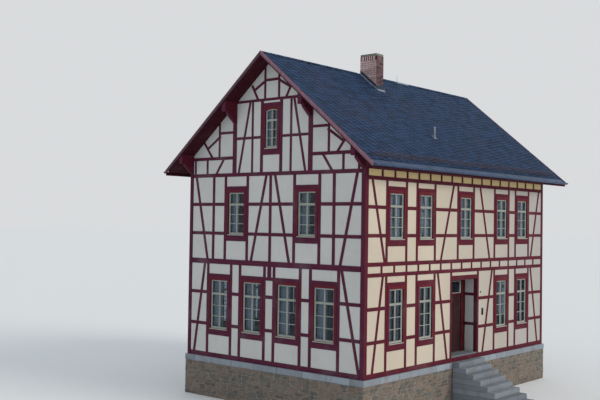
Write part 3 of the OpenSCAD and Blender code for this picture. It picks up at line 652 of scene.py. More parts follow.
def every(start, end, step):
    """Places from start to end, a step apart."""
    while start < end:
        yield start
        start += step


def wall_matrix(side):
    """From a wall's own axes, across to the right, up and outwards, to the frame."""
    right, out = WALL_AXES[side]
    return Matrix((right, (0, 0, 1), out)).transposed().to_4x4()


def wall_span(side, low, high):
    """A box in a wall's own axes: its two ends along the wall, and its outer face."""
    right, out = map(Vector, WALL_AXES[side])
    return *sorted((right.dot(low), right.dot(high))), max(out.dot(low), out.dot(high))


def slope_matrix(sign):
    """From a slope's own axes, along the eaves, up the slope and out of it, to the frame."""
    run = 1 / STEEP
    rise = PITCH * run
    up, out = Vector((0, -sign * run, rise)), Vector((0, sign * rise, run))
    matrix = Matrix((up.cross(out), up, out)).transposed().to_4x4()
    matrix.translation = (0, MIDDLE_Y + sign * RUN, TOP - PITCH * RUN)
    return matrix


def slope_span(sign, a, b):
    """A stretch of the roof's length in a slope's own axes."""
    return sorted((-sign * a, -sign * b))


def up_slope(y):
    """How far up the front slope a place lies."""
    return (y - (MIDDLE_Y - RUN)) * STEEP


# Stage

CAMERA_FROM_CORNER = Vector((-20.68, -15.29, 4.52))
CAMERA_YAW = math.radians(40.71)
CAMERA_PITCH = math.radians(1.50)
CAMERA_ROLL = math.radians(0.86)
CAMERA_LENS = 53.12

STAGE_HALF = 400.0
SENSOR_WIDTH = 36.0
CAMERA_REACH = 1000.0

# The sky that lights the house, and the one that the camera, mirrors and glass see
SKIES = (((0.88, 0.95, 1.0, 1.0), 0.62), ((0.90, 0.92, 0.94, 1.0), 0.77))

# Each lamp with its direction, strength, spread in degrees and colour
LAMPS = (
    ("key", (-0.22, 0.88, -0.40), 1.45, 25.0, (1.0, 0.94, 0.86)),
    ("fill", (0.92, 0.10, -0.25), 0.12, 60.0, (0.86, 0.93, 1.0)),
)


class HOUSE_OT_stage(bpy.types.Operator):
    """Set the floor, the light and the camera"""

    bl_idname = "house.stage"
    bl_label = "Stage"

    def execute(self, context):
        context.scene.view_settings.view_transform = "Standard"
        bm = bmesh.new()
        bmesh.ops.create_grid(bm, x_segments=4, y_segments=4, size=STAGE_HALF)
        floor = add_object("stage_floor", to_mesh("stage_floor", bm))
        ground = Finish("stage_floor", 0.95)
        ground.set(Base_Color=tint("ground"))
        floor.data.materials.append(ground.material)
        world = bpy.data.worlds.new("studio")
        world.use_nodes = True
        context.scene.world = world
        self.sky(world.node_tree.nodes, world.node_tree.links)
        for name, direction, strength, spread, rgb in LAMPS:
            lamp = bpy.data.lights.new(name, "SUN")
            lamp.energy = strength
            lamp.angle = math.radians(spread)
            lamp.color = rgb
            lit = add_object(name, lamp)
            lit.rotation_mode = "QUATERNION"
            lit.rotation_quaternion = Vector(direction).to_track_quat("-Z", "Y")
        self.camera(context.scene)
        return {"FINISHED"}

    def sky(self, nodes, links):
        """One sky for the rays that are seen, and another for the rest."""
        path = nodes.new("ShaderNodeLightPath")
        seen = path.outputs["Is Camera Ray"]
        for ray in ("Is Glossy Ray", "Is Transmission Ray"):
            either = nodes.new("ShaderNodeMath")
            either.operation = "MAXIMUM"
            links.new(seen, either.inputs[0])
            links.new(path.outputs[ray], either.inputs[1])
            seen = either.outputs[0]
        mix = nodes.new("ShaderNodeMixShader")
        links.new(seen, mix.inputs["Fac"])
        for k, (rgb, strength) in enumerate(SKIES):
            sky = nodes.new("ShaderNodeBackground")
            sky.inputs["Color"].default_value = rgb
            sky.inputs["Strength"].default_value = strength
            links.new(sky.outputs[0], mix.inputs[k + 1])
        links.new(mix.outputs[0], nodes["World Output"].inputs["Surface"])

    def camera(self, scene):
        eye = bpy.data.cameras.new("camera")
        eye.lens = CAMERA_LENS
        eye.sensor_width = SENSOR_WIDTH
        eye.clip_end = CAMERA_REACH
        scene.camera = add_object("camera", eye)
        quarter = math.pi / 2
        scene.camera.matrix_world = (
            Matrix.Translation(WALL_LOW + CAMERA_FROM_CORNER) @ Matrix.Rotation(CAMERA_YAW - quarter, 4, "Z")
            @ Matrix.Rotation(CAMERA_PITCH + quarter, 4, "X") @ Matrix.Rotation(CAMERA_ROLL, 4, "Z"))


# Walls

UPRIGHTS = [f"{wall}_{part}" for wall in ("front", "back", "left_gable", "right_gable")
            for part in ("posts", "braces")]

# The nodes of the frame that show as they are, by their finish
DRESSED = {
    "red_timber_up": UPRIGHTS + ["porch_timbers"],
    "red_timber_along": ["front_beams", "back_beams", "purlins"],
    "red_timber_across": ["left_gable_beams", "right_gable_beams", "floor_joists", "knee_brackets"],
    "lime_plaster_front": ["front_infill"],
    "lime_plaster": ["back_infill", "left_gable_infill", "right_gable_infill", "porch_panels"],
    "floor_boards": ["ground_floor", "upper_floor", "attic_floor"],
    "mortar": ["plinth"],
    "stack_mortar": ["chimney"],
    "dark_sheet": ["chimney_flashing"],
    "pipe_sheet": ["roof_vent"],
    "porch_boards": ["porch_ceiling"],
    "step_stone": ["porch_floor"],
    "door_frame_paint": ["door_frame"],
    "door_paint": ["door_leaf"],
    "brass_fittings": ["door_handle"],
    "iron_fittings": ["door_hinges", "leaf_hinges"],
    "window_glass": ["window_glass"],
}


class HOUSE_OT_walls(bpy.types.Operator):
    """Finish the timber frame, the plaster and the floors"""

    bl_idname = "house.walls"
    bl_label = "Walls"

    def execute(self, context):
        for material, nodes in DRESSED.items():
            for name in nodes:
                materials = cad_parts[name].data.materials
                materials.clear()
                materials.append(finish(material))
        return {"FINISHED"}


# Roof

# Sideways step of a slate's long edges for each metre up the slope
SLATE_LEAN = -0.306
# Rise of the courses along the roof
COURSE_TILT = math.radians(13.0)
# Depth of the slates, square to the slope
SLATE_BED = 0.040 / STEEP


def slate_shape(bm):
    """One slate with leaning sides and one round corner, lying a little steeper than the roof."""
    gauge, half = sizes().slate_gauge, sizes().slate_width / 2 - 0.003
    long, nose, lift = gauge * 2.2, gauge * 0.45, 0.016
    head, corner = SLATE_LEAN * long, SLATE_LEAN * nose
    outline = [(corner - half, nose, 0), (-half * 0.80, nose * 0.25, 0), (-half * 0.45, 0, 0), (half, 0, 0),
               (half + head, long, 0), (head - half, long, 0)]
    prism(bm, outline, (0, 0, 0.009))
    lie = Matrix.Rotation(-math.atan2(lift, long), 4, "X") @ Matrix.Rotation(lift, 4, "Y")
    bmesh.ops.transform(bm, matrix=Matrix.Translation((0, 0, 0.018)) @ lie, verts=bm.verts)


def slate_painted_shading(mesh):
    """Painted light and shade for each vertex of a slate: one pale at the tail as a painted highlight and
    dark at the head as a painted shadow under the next course, one pale at the round side and dark at the
    other as a painted shadow along the side joint.
    """
    x, y, _ = np.array([vert.co for vert in mesh.vertices], np.float32).T
    return 1.0 - y / sizes().slate_gauge, 0.5 - (x - SLATE_LEAN * y) / sizes().slate_width


def in_chimney(x, t):
    """Whether a place on the front slope lies in the stack."""
    y = MIDDLE_Y - RUN + t / STEEP
    return CHIMNEY_LOW.x < x < CHIMNEY_HIGH.x and CHIMNEY_LOW.y < y < CHIMNEY_HIGH.y


class HOUSE_OT_slates(bpy.types.Operator):
    """Lay the slates on both slopes, in courses that rise along the roof"""

    bl_idname = "house.slates"
    bl_label = "Slates"

    def execute(self, context):
        for side, sign in SLOPES.items():
            random.seed(5)
            layer = Layer()
            self.courses(layer, sign)
            self.bed(layer.bm, sign)
            piece(f"slates_{side}", layer.bm, "slate", [f"{side}_slates"], recalc=False)
        self.ridge()
        return {"FINISHED"}

    def courses(self, layer, sign):
        """Slates over the whole slope but the stack, trimmed at the verges, the ridge and the eaves strip."""
        shape = prototype(slate_shape)
        tail, flank = slate_painted_shading(shape)
        matrix = slope_matrix(sign)
        half = (ROOF_RIGHT - ROOF_LEFT) / 2
        middle = (ROOF_RIGHT + ROOF_LEFT) / 2 * -sign
        width, gauge = sizes().slate_width, sizes().slate_gauge
        course = Vector((math.cos(COURSE_TILT), math.sin(COURSE_TILT)))
        upward = Vector((-course.y, course.x))
        start = sizes().strip_width - 0.02
        rows = int((half + SLOPE_LENGTH) / gauge) + 2
        columns = int((half + rows * gauge * 0.55) / width) + 2
        for row in range(-rows, rows):
            for column in range(-columns, columns):
                place = course * (width * column + SLATE_LEAN * gauge * row) + upward * gauge * row
                s, t = place.x, place.y + SLOPE_LENGTH / 2
                if abs(s) > half + width * 0.4 or not start - gauge < t < SLOPE_LENGTH + gauge * 0.2:
                    continue
                if sign < 0 and in_chimney(middle + s, t + gauge):
                    continue
                lift = (middle + s, t + random.uniform(-0.003, 0.003), random.uniform(0.0, 0.003) - SLATE_BED)
                turn = Matrix.Rotation(COURSE_TILT + random.uniform(-0.01, 0.01), 4, "Z")
                share = min(1.0, max(0.0, 0.9 * (s + half) / half - 0.35))
                # Painted shading: side shadows on the left of the roof, tail highlights and head shadows on
                # the right
                painted_shading = tail * share + flank * (1.0 - share)
                layer.lay(shape, matrix @ Matrix.Translation(lift) @ turn, painted_shading)
        layer.trim((ROOF_LEFT, 0, 0), (-1, 0, 0))
        layer.trim((ROOF_RIGHT, 0, 0), (1, 0, 0))
        layer.trim((0, MIDDLE_Y, 0), (0, -sign, 0))
        layer.trim(matrix @ Vector((0, start, 0)), matrix.to_3x3() @ Vector((0, -1, 0)))

    def bed(self, bm, sign):
        """The boards' dark cover, seen only in the joints between the slates."""
        foot, top, thick, gap = 0.02, SLOPE_LENGTH - 0.02, 0.006, 0.005
        sheets = [(*slope_span(sign, ROOF_LEFT, ROOF_RIGHT), top)]
        if sign < 0:
            left, right = CHIMNEY_LOW.x - gap, CHIMNEY_HIGH.x + gap
            stack = up_slope(CHIMNEY_LOW.y) - 0.01
            sheets = [(ROOF_LEFT, left, top), (right, ROOF_RIGHT, top), (left, right, stack)]
        for s0, s1, t1 in sheets:
            block(bm, (s0, foot, -SLATE_BED), (s1, t1, -SLATE_BED + thick), matrix=slope_matrix(sign))

    def ridge(self):
        """A course of slates along each side of the ridge, the front one lapping over the back one."""
        layer = Layer()
        random.seed(8)
        step, end = 0.15, 0.004
        wide = step * 1.45
        shape = block_shape((0, -0.11, 0), (wide, 0.0, 0.005), 0.002)
        for sign in SLOPES.values():
            for low in every(ROOF_LEFT + end, ROOF_RIGHT - end - wide, step):
                high = low + wide
                if high > CHIMNEY_LOW.x - 0.01 and low < CHIMNEY_HIGH.x + 0.01:
                    continue
                place = Matrix.Translation((low if sign < 0 else -high, SLOPE_LENGTH - 0.001, 0.0006))
                layer.lay(shape, slope_matrix(sign) @ place @ Matrix.Rotation(-0.03, 4, "Y"))
        layer.trim((0, 0, TOP + 0.012), (0, 0, 1))
        piece("ridge_slates", layer.bm, "slate", ["ridge_cap"])


# Steps in the half round of a gutter
ARC_STEPS = 16


def half_ring(outer, inner, shift):
    """The outline of a half-round trough, in the plane across the gutter."""
    arc = [math.pi * k / ARC_STEPS for k in range(ARC_STEPS + 1)]
    return [(0, shift + radius * math.cos(t), -radius * math.sin(t))
            for radius, turns in ((outer, arc), (inner, arc[::-1])) for t in turns]


class HOUSE_OT_eaves(bpy.types.Operator):
    """Lay the roof boards and rafters, and fit the barge boards, gutters, zinc strips and snow guards"""

    bl_idname = "house.eaves"
    bl_label = "Roof boards and eaves"

    def execute(self, context):
        wood, zinc, guard = bmesh.new(), bmesh.new(), bmesh.new()
        for sign in SLOPES.values():
            matrix = slope_matrix(sign)
            self.boards(wood, sign, matrix)
            self.strip(zinc, sign, matrix)
            self.guard(guard, sign, matrix)
        piece("roof_boards", wood, "soffit_paint", ["roof_deck"])
        piece("eaves_strips", zinc, "zinc")
        piece("snow_guards", guard, "snow_guard")
        self.gutters()
        self.barges()
        return {"FINISHED"}

    def boards(self, bm, sign, matrix):
        """Boards over and under the rafters, and a fascia along the eaves."""
        deep, thick, gap, end = 0.170 / STEEP, 0.022, 0.002, 0.06
        width = sizes().board_width
        s0, s1 = slope_span(sign, ROOF_LEFT, ROOF_RIGHT)
        for k in range(int((SLOPE_LENGTH - end) / width)):
            t = 0.055 + k * width
            for low in (-deep, -SLATE_BED - thick):
                block(bm, (s0, t + gap, low), (s1, t + width - gap, low + thick), 0.0, matrix)
        for x in every(ROOF_LEFT + 0.09, ROOF_RIGHT, sizes().rafter_step):
            a, b = slope_span(sign, x - 0.04, x + 0.04)
            block(bm, (a, end, -deep + thick), (b, SLOPE_LENGTH - end, -SLATE_BED - thick), 0.0, matrix)
        edge = MIDDLE_Y + sign * RUN
        y0, y1 = sorted((edge, edge - sign * 0.026))
        foot = TOP - PITCH * RUN
        block(bm, (ROOF_LEFT, y0, foot - 0.168), (ROOF_RIGHT, y1, foot - 0.044), 0.003)

    def strip(self, bm, sign, matrix):
        """Sheets of zinc from the gutter to the first course of slates, with welted joints."""
        wide, sheet = sizes().strip_width, 1.0
        for x in every(ROOF_LEFT, ROOF_RIGHT - 0.01, sheet):
            end = min(x + sheet, ROOF_RIGHT)
            for ends, low, high, bevel in (((x, end - 0.004), 0.006, 0.011, 0.0015),
                                           ((end - 0.02, end), 0.008, 0.017, 0.002)):
                a, b = slope_span(sign, *ends)
                block(bm, (a, 0.0, low - SLATE_BED), (b, wide, high - SLATE_BED), bevel, matrix)

    def guard(self, bm, sign, matrix):
        """A low lattice on brackets, standing square to the slope over the eaves."""
        tall, foot, step = sizes().guard_height, 0.33, sizes().rafter_step
        rails, rail, thin = (0.22, 0.60, 1.0), 0.012, 0.005
        a, b = slope_span(sign, ROOF_LEFT + 0.25, ROOF_RIGHT - 0.60)
        for share in rails:
            block(bm, (a, foot - thin, tall * share - rail), (b, foot + thin, tall * share), 0.0, matrix)
        for s in every(a + 0.05, b, step):
            block(bm, (s - 0.015, foot + 0.005, -0.012), (s + 0.015, foot + 0.011, tall), 0.0, matrix)
            lean = Matrix.Translation((s, foot + 0.008, tall * 0.8)) @ Matrix.Rotation(0.75, 4, "X")
            block(bm, (-0.012, -0.003, -tall * 1.12), (0.012, 0.003, 0.0), 0.0, matrix @ lean)
            for bar in (s + step * k / 6 for k in range(1, 6)):
                if bar < b:
                    low, high = (bar - 0.004, foot - 0.003, tall * 0.2), (bar + 0.004, foot + 0.003, tall)
                    block(bm, low, high, 0.0, matrix)

    def gutters(self):
        """On each side a trough with closed ends, a bead along its rim and a row of hooks."""
        bm = bmesh.new()
        roll, sheet, hair = 0.009, 0.003, 0.001
        for low, high in islands("gutters"):
            middle, long = (low + high) / 2, high.x - low.x
            radius = (high.y - low.y) / 2
            body = radius - 0.006
            outward = -1 if middle.y < MIDDLE_Y else 1
            shift = -outward * 0.002
            place = Matrix.Translation((low.x, middle.y, high.z - roll))
            trough = half_ring(body, body - sheet, shift)
            prism(bm, trough, (long, 0, 0), place)
            for x in (0.0, long - sheet):
                prism(bm, [(x, y, z) for _, y, z in trough[:ARC_STEPS + 1]], (sheet, 0, 0), place)
            rim = Vector((middle.x, middle.y + outward * (radius - roll - hair), high.z - roll - hair))
            cone(bm, roll, roll, long, Matrix.Translation(rim) @ Matrix.Rotation(math.pi / 2, 4, "Y"))
            hook = half_ring(body + 0.004, body, shift)
            for x in every(0.12, long, sizes().rafter_step):
                prism(bm, hook, (0.025, 0, 0), place @ Matrix.Translation((x, 0, 0)))
        piece("gutter_troughs", bm, "zinc", ["gutters"])

    def barges(self):
        """Barge boards with a narrow board along the top, painted pale on the front slope as painted light
        and dark on the back slope as painted shade.
        """
        made = {sign: bmesh.new() for sign in SLOPES.values()}
        depth, crown, bead = sizes().barge_depth, 0.075, 0.022
        for low, high in islands("barge_boards"):
            sign = -1 if (low.y + high.y) / 2 < MIDDLE_Y else 1
            reach = abs((low.y if sign < 0 else high.y) - MIDDLE_Y)
            inner, outer = (high.x, low.x) if low.x < 0 else (low.x, high.x)

            def board(drop_low, drop_high, x0, x1):
                """A board between two depths under the roof's top, cut level at its foot."""
                ends = [min(reach, (high.z - drop - low.z) / PITCH) for drop in (drop_high, drop_low)]
                points = [(0, high.z - drop_high), (ends[0], high.z - drop_high - PITCH * ends[0])]
                if ends[1] < ends[0] == reach:
                    points.append((reach, low.z))
                points += [(ends[1], high.z - drop_low - PITCH * ends[1]), (0, high.z - drop_low)]
                outline = [(x0, MIDDLE_Y + sign * (u + 0.0003), z) for u, z in points]
                prism(made[sign], outline, (x1 - x0, 0, 0))

            face = inner + (outer - inner) * 0.62
            board(depth - 0.002, 0.0, inner, face)
            board(crown, 0.002, face, outer)
            board(depth, depth - bead, face, outer - (outer - inner) * 0.1)
        piece("barges_front", made[-1], "barge_paint", ["barge_boards"])
        piece("barges_back", made[1], "dull_barge_paint", ["barge_boards"])


# Windows

ARCH_RISE = 0.045
# Windows narrower than this have a curved head
ARCH_WIDTH = 0.54
# The depth of the fixed frame from the wall's face
FRAME_BACK, FRAME_FRONT = -0.075, -0.025
FIXED = (FRAME_BACK, FRAME_FRONT)
# The depth of the casements
LEAF = (FRAME_BACK + 0.006, FRAME_FRONT - 0.010)
# The transom's place as a share of the height, half its height, and half the width of the posts by it
TRANSOM_SHARE = 0.72
TRANSOM, OVER_POST, UNDER_POST = 0.018, 0.012, 0.010
# Width of a curtain's fold, and how far it swings from the rod
FOLD_WIDTH, FOLD_SWING = 0.07, 0.018


def arch(half, crown, rise, inset=0.0, count=10):
    """Points along a segmental head, from right to left, as (across, up)."""
    circle = (half * half + rise * rise) / (2 * rise)
    radius = circle - inset
    end = math.asin((half - inset) / radius)
    turns = [end * (1 - 2 * k / count) for k in range(count + 1)]
    return [(radius * math.sin(turn), crown - circle + radius * math.cos(turn)) for turn in turns]


class Window:
    """One window in its wall's axes: across from its middle, up from the foot of the glass, and outwards."""

    def __init__(self, side, low, high):
        left, right, _ = wall_span(side, low, high)
        face = wall_span(side, WALL_LOW, WALL_HIGH)[2]
        self.matrix = wall_matrix(side) @ Matrix.Translation(((left + right) / 2, low.z, face))
        self.half, self.height = (right - left) / 2, high.z - low.z
        self.rise = ARCH_RISE if right - left < ARCH_WIDTH else 0.0
        self.closed = self.rise > 0 or (side == "front" and low.z > WALL_LOW.z + 3.0)

    def casing(self, bm):
        """Boards round the opening, with a raised rim outside and a lip inside."""
        matrix, half, height = self.matrix, self.half, self.height
        wide, foot, rim, lip, hair = sizes().casing_width, -0.045, 0.022, 0.014, 0.0005
        back, front, proud = -0.045, 0.010, 0.0145
        top = height + wide
        for s in (-1, 1):
            outer = s * (half + wide)
            member(bm, matrix, (s * half, outer), (foot, top), (back, front), 0.004)
            member(bm, matrix, (outer, outer - s * rim), (foot, top), (0.0, proud), 0.004)
            member(bm, matrix, (s * half, s * half + s * lip), (0, height - self.rise), (-0.03, proud))
        between = (-half + hair, half - hair)
        if self.rise:
            head = arch(half - hair, height, self.rise)[::-1]
            outline = [(half - hair, top), (-half + hair, top)] + head
            prism(bm, [(u, v, back) for u, v in outline], (0, 0, front - back), matrix)
        else:
            member(bm, matrix, between, (height, top), (back, front), 0.004)
            member(bm, matrix, (-half, half), (height, height + lip), (-0.03, proud))
        member(bm, matrix, (-half - wide, half + wide), (top - rim, top), (0.0, 0.0148), 0.004)
        member(bm, matrix, between, (foot, 0), (back, 0.004), 0.004)

    def frame(self, bm):
        """The fixed members, two casements and two lights over them, with glazing bars and hinges."""
        matrix, half, height = self.matrix, self.half, self.height
        edge, stile, bar = sizes().outer_frame, sizes().stile_width, sizes().bar_width
        middle, top = height * TRANSOM_SHARE, height - self.rise
        under, over = middle - TRANSOM, middle + TRANSOM
        inside = (-half + edge, half - edge)
        for s in (-1, 1):
            member(bm, matrix, (s * half, s * (half - edge)), (0, top), FIXED)
        member(bm, matrix, inside, (0, edge * 1.3), FIXED)
        if self.rise:
            outline = arch(half, height, self.rise) + arch(half, height, self.rise, edge)[::-1]
            prism(bm, [(u, v, FRAME_BACK) for u, v in outline], (0, 0, FRAME_FRONT - FRAME_BACK), matrix)
        else:
            member(bm, matrix, inside, (height - edge, height), FIXED)
        member(bm, matrix, inside, (under, over), FIXED)
        drip, proud = (middle + 0.004, middle + 0.022), 0.020
        member(bm, matrix, inside, drip, (FRAME_FRONT, FRAME_FRONT + proud), 0.005)
        for post, up, out, bevel in (
                (OVER_POST, (over, height - edge), (FRAME_BACK, FRAME_FRONT + 0.002), 0.003),
                (UNDER_POST, (edge, under), (FRAME_BACK, FRAME_FRONT - 0.004), 0.003),
                (0.008, (edge, middle - 0.020), (FRAME_FRONT - 0.004, FRAME_FRONT + 0.006), 0.004)):
            member(bm, matrix, (-post, post), up, out, bevel)
        for s in (-1, 1):
            hinge = s * (half - edge)
            foot = edge * 1.3
            surround(bm, matrix, (s * UNDER_POST, hinge), (foot, under), LEAF, stile, stile * 1.3, stile)
            for k in (1, 2):
                z = foot + stile + (under - foot - 2 * stile) / 3 * k
                member(bm, matrix, (s * (UNDER_POST + stile), hinge - s * stile), (z - bar / 2, z + bar / 2),
                       (FRAME_BACK + 0.008, LEAF[1] - 0.004))
            light = stile * 0.7
            rail = 0 if self.rise else light
            surround(bm, matrix, (s * OVER_POST, hinge), (over, top - edge * 0.9), LEAF, light, rail, rail)
            for share in (0.14, 0.86):
                z = edge + (middle - edge) * share
                member(bm, matrix, (hinge - 0.006, hinge + 0.006), (z - 0.035, z + 0.035),
                       (LEAF[1], FRAME_FRONT + 0.008), 0.002)

    def sill(self, bm):
        half = self.half + 0.02
        member(bm, self.matrix, (-half, half), (-0.026, -0.004), (-0.03, 0.036), 0.005)
        member(bm, self.matrix, (0.02 - half, half - 0.02), (-0.032, -0.026), (0.0, 0.026), 0.002)

    def curtains(self, rods, number):
        """Two gathered curtains on a rod: both drawn, or the left one drawn and the right one tied back."""
        half, depth, rod = self.half + 0.04, -0.14 if self.closed else -0.19, 0.006
        top, drop = self.height - 0.02, self.height - 0.03
        member(rods, self.matrix, (-half, half), (top - rod, top + rod), (depth - rod, depth + rod), 0.004)
        drawn = random.uniform(0.46, 0.53)
        other = 0.48 if self.closed else random.uniform(0.10, 0.24)
        for tag, sign, share in (("a", 1, drawn), ("b", -1, other)):
            across = 2 * half * share
            folds = max(3, round(across / FOLD_WIDTH))
            phase = random.uniform(0, 6.28)
            tie = 0.45 if tag == "b" and not self.closed else 0.06
            bm = bmesh.new()
            bmesh.ops.create_grid(bm, x_segments=40, y_segments=12, size=0.5)
            for vert in bm.verts:
                u, v = vert.co.x + 0.5, vert.co.y + 0.5
                wave = math.sin(u * folds * 2 * math.pi + phase) * FOLD_SWING * (0.7 + 0.3 * (1 - v))
                tuck = 1.0 - tie * math.sin(v * math.pi) ** 2
                vert.co = (sign * (u * across * tuck - half), top - 0.012 - (1 - v) * drop, depth + wave)
            bmesh.ops.transform(bm, matrix=self.matrix, verts=bm.verts)
            area = sum(f.calc_area() for f in bm.faces)
            yield f"curtain_{number:02d}_{tag}", bm, (area / drop, drop)


def window_panes():
    """The glass of every window as (wall, low corner, high corner), in a fixed order."""
    found = []
    for low, high in islands("window_glass"):
        long_wall = high.y - low.y < high.x - low.x
        if long_wall:
            side = "front" if low.y < MIDDLE_Y else "back"
        else:
            side = "left" if low.x < 0 else "right"
        found.append((side, low, high))
    return sorted(found, key=lambda item: (item[0], *(round(item[1][axis], 2) for axis in (2, 0, 1))))


class HOUSE_OT_windows(bpy.types.Operator):
    """Fit the casings, frames, glazing bars, sills and curtains"""

    bl_idname = "house.windows"
    bl_label = "Windows"

    def execute(self, context):
        casings, frames, sills, rods = bmesh.new(), bmesh.new(), bmesh.new(), bmesh.new()
        random.seed(11)
        curtains = []
        for number, pane in enumerate(window_panes()):
            window = Window(*pane)
            window.casing(casings)
            window.frame(frames)
            window.sill(sills)
            curtains += window.curtains(rods, number)
        piece("casings", casings, "casing_paint", ["window_casings"])
        piece("window_frames", frames, "window_paint", ["window_sashes"])
        piece("sill_boards", sills, "window_paint")
        piece("curtain_rods", rods, "brass_fittings")
        for name, bm, flat in curtains:
            made = piece(name, bm, "curtain", recalc=False)
        return {"FINISHED"}


# Plinth

def stone_shape(bm):
    """A cube with its edges and corners drawn in."""
    bmesh.ops.create_cube(bm, size=1.0)
    bmesh.ops.subdivide_edges(bm, edges=bm.edges, cuts=1, use_grid_fill=True)
    for vert in bm.verts:
        vert.co *= 1.0 - 0.16 * (sum(abs(c) > 0.4 for c in vert.co) - 1) / 2


class HOUSE_OT_plinth(bpy.types.Operator):
    """Lay the rubble, the cap stones and the steps"""

    bl_idname = "house.plinth"
    bl_label = "Plinth"

    def execute(self, context):
        shapes = [prototype(stone_shape) for _ in range(9)]
        random.seed(23)
        for shape in shapes:
            for vert in shape.vertices:
                for axis, shift in enumerate((0.055, 0.07, 0.08)):
                    vert.co[axis] += random.uniform(-shift, shift)
        for side in WALL_AXES:
            layer = Layer()
            self.courses(layer, shapes, side)
            for vert in layer.bm.verts:
                vert.co.z = max(vert.co.z, 0.0)
            piece(f"rubble_{side}", layer.bm, "rubble_stone")
        self.caps()
        self.steps()
        return {"FINISHED"}

    def courses(self, layer, shapes, side):
        """Courses of uneven height, each of stones of uneven length."""
        left, right, face = wall_span(side, *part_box("plinth"))
        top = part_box("plinth")[1].z
        z = 0.0
        while z < top - 0.02:
            tall = random.uniform(0.065, 0.15)
            if top - z - tall < 0.06:
                tall = top - z
            u = left - random.uniform(0, 0.08)
            while u < right:
                wide = random.uniform(0.5, 1.6) * sizes().stone_length * (0.7 + tall * 3)
                start, end = max(u, left), min(u + wide, right)
                u += wide
                if end - start >= 0.03:
                    self.stone(layer, shapes, wall_matrix(side), start, end, z, tall, face)
            z += tall

    def stone(self, layer, shapes, matrix, start, end, z, tall, face):
        """One stone, or two thin ones over each other."""
        gap, deep = 0.006, 0.09
        split = tall > 0.11 and random.random() < 0.28
        share = random.uniform(0.4, 0.6) if split else 1.0
        for z0, z1 in ((z, z + tall * share), (z + tall * share, z + tall)):
            if z1 - z0 < 0.02:
                continue
            centre = ((start + end) / 2, (z0 + z1) / 2, face - 0.037 + random.uniform(0.0, 0.014))
            turn = Matrix.Rotation(random.uniform(-0.05, 0.05), 4, "Z")
            place = boxed(centre, (end - start - gap, z1 - z0 - gap, deep), turn)
            layer.lay(random.choice(shapes), matrix @ place)

    def steps(self):
        """Solid stone steps with worn edges, each tread in two stones."""
        layer = Layer()
        random.seed(37)
        gap = Vector((0.002, 0, 0))
        for low, high in islands("entrance_steps"):
            cut = low.x + (high.x - low.x) * random.uniform(0.35, 0.65)
            for a, b in ((low, Vector((cut, *high.yz)) - gap), (Vector((cut, *low.yz)) + gap, high)):
                layer.lay(block_shape((a - b) / 2, (b - a) / 2, 0.010), Matrix.Translation((a + b) / 2))
        piece("step_stones", layer.bm, "step_stone", ["entrance_steps"])

    def caps(self):
        """Cap stones round the plinth, those on the gables between those on the long walls."""
        layer = Layer()
        depth, joint = 0.49, 0.004
        random.seed(31)
        for axis, far in ((0, False), (0, True), (1, False), (1, True)):
            start, end = CAP_LOW[axis] + axis * depth, CAP_HIGH[axis] - axis * depth
            count = round((end - start) / sizes().cap_length)
            cuts = [start + (end - start) * (k + random.uniform(-0.16, 0.16)) / count
                    for k in range(1, count)]
            for a, b in zip([start] + cuts, cuts + [end]):
                low, high = CAP_LOW.copy(), CAP_HIGH.copy()
                if far:
                    low[1 - axis] = high[1 - axis] - depth
                else:
                    high[1 - axis] = low[1 - axis] + depth
                low[axis], high[axis] = a + joint, b - joint
                layer.lay(block_shape(low, high, 0.012), IDENTITY)
        piece("cap_stones", layer.bm, "cap_stone", ["plinth_cap"])


# Chimney

def along_face(box, axis, far, at, z, size, proud=0.0):
    """Puts a unit cube along one face of a box, its size given along the face, into it and up."""
    long, deep, tall = size
    low, high = box
    centre, extent = [0, 0, z], [0, 0, tall]
    centre[axis], extent[axis] = at, long
    inset = deep / 2 - proud
    centre[1 - axis] = high[1 - axis] - inset if far else low[1 - axis] + inset
    extent[1 - axis] = deep
    return boxed(centre, extent)


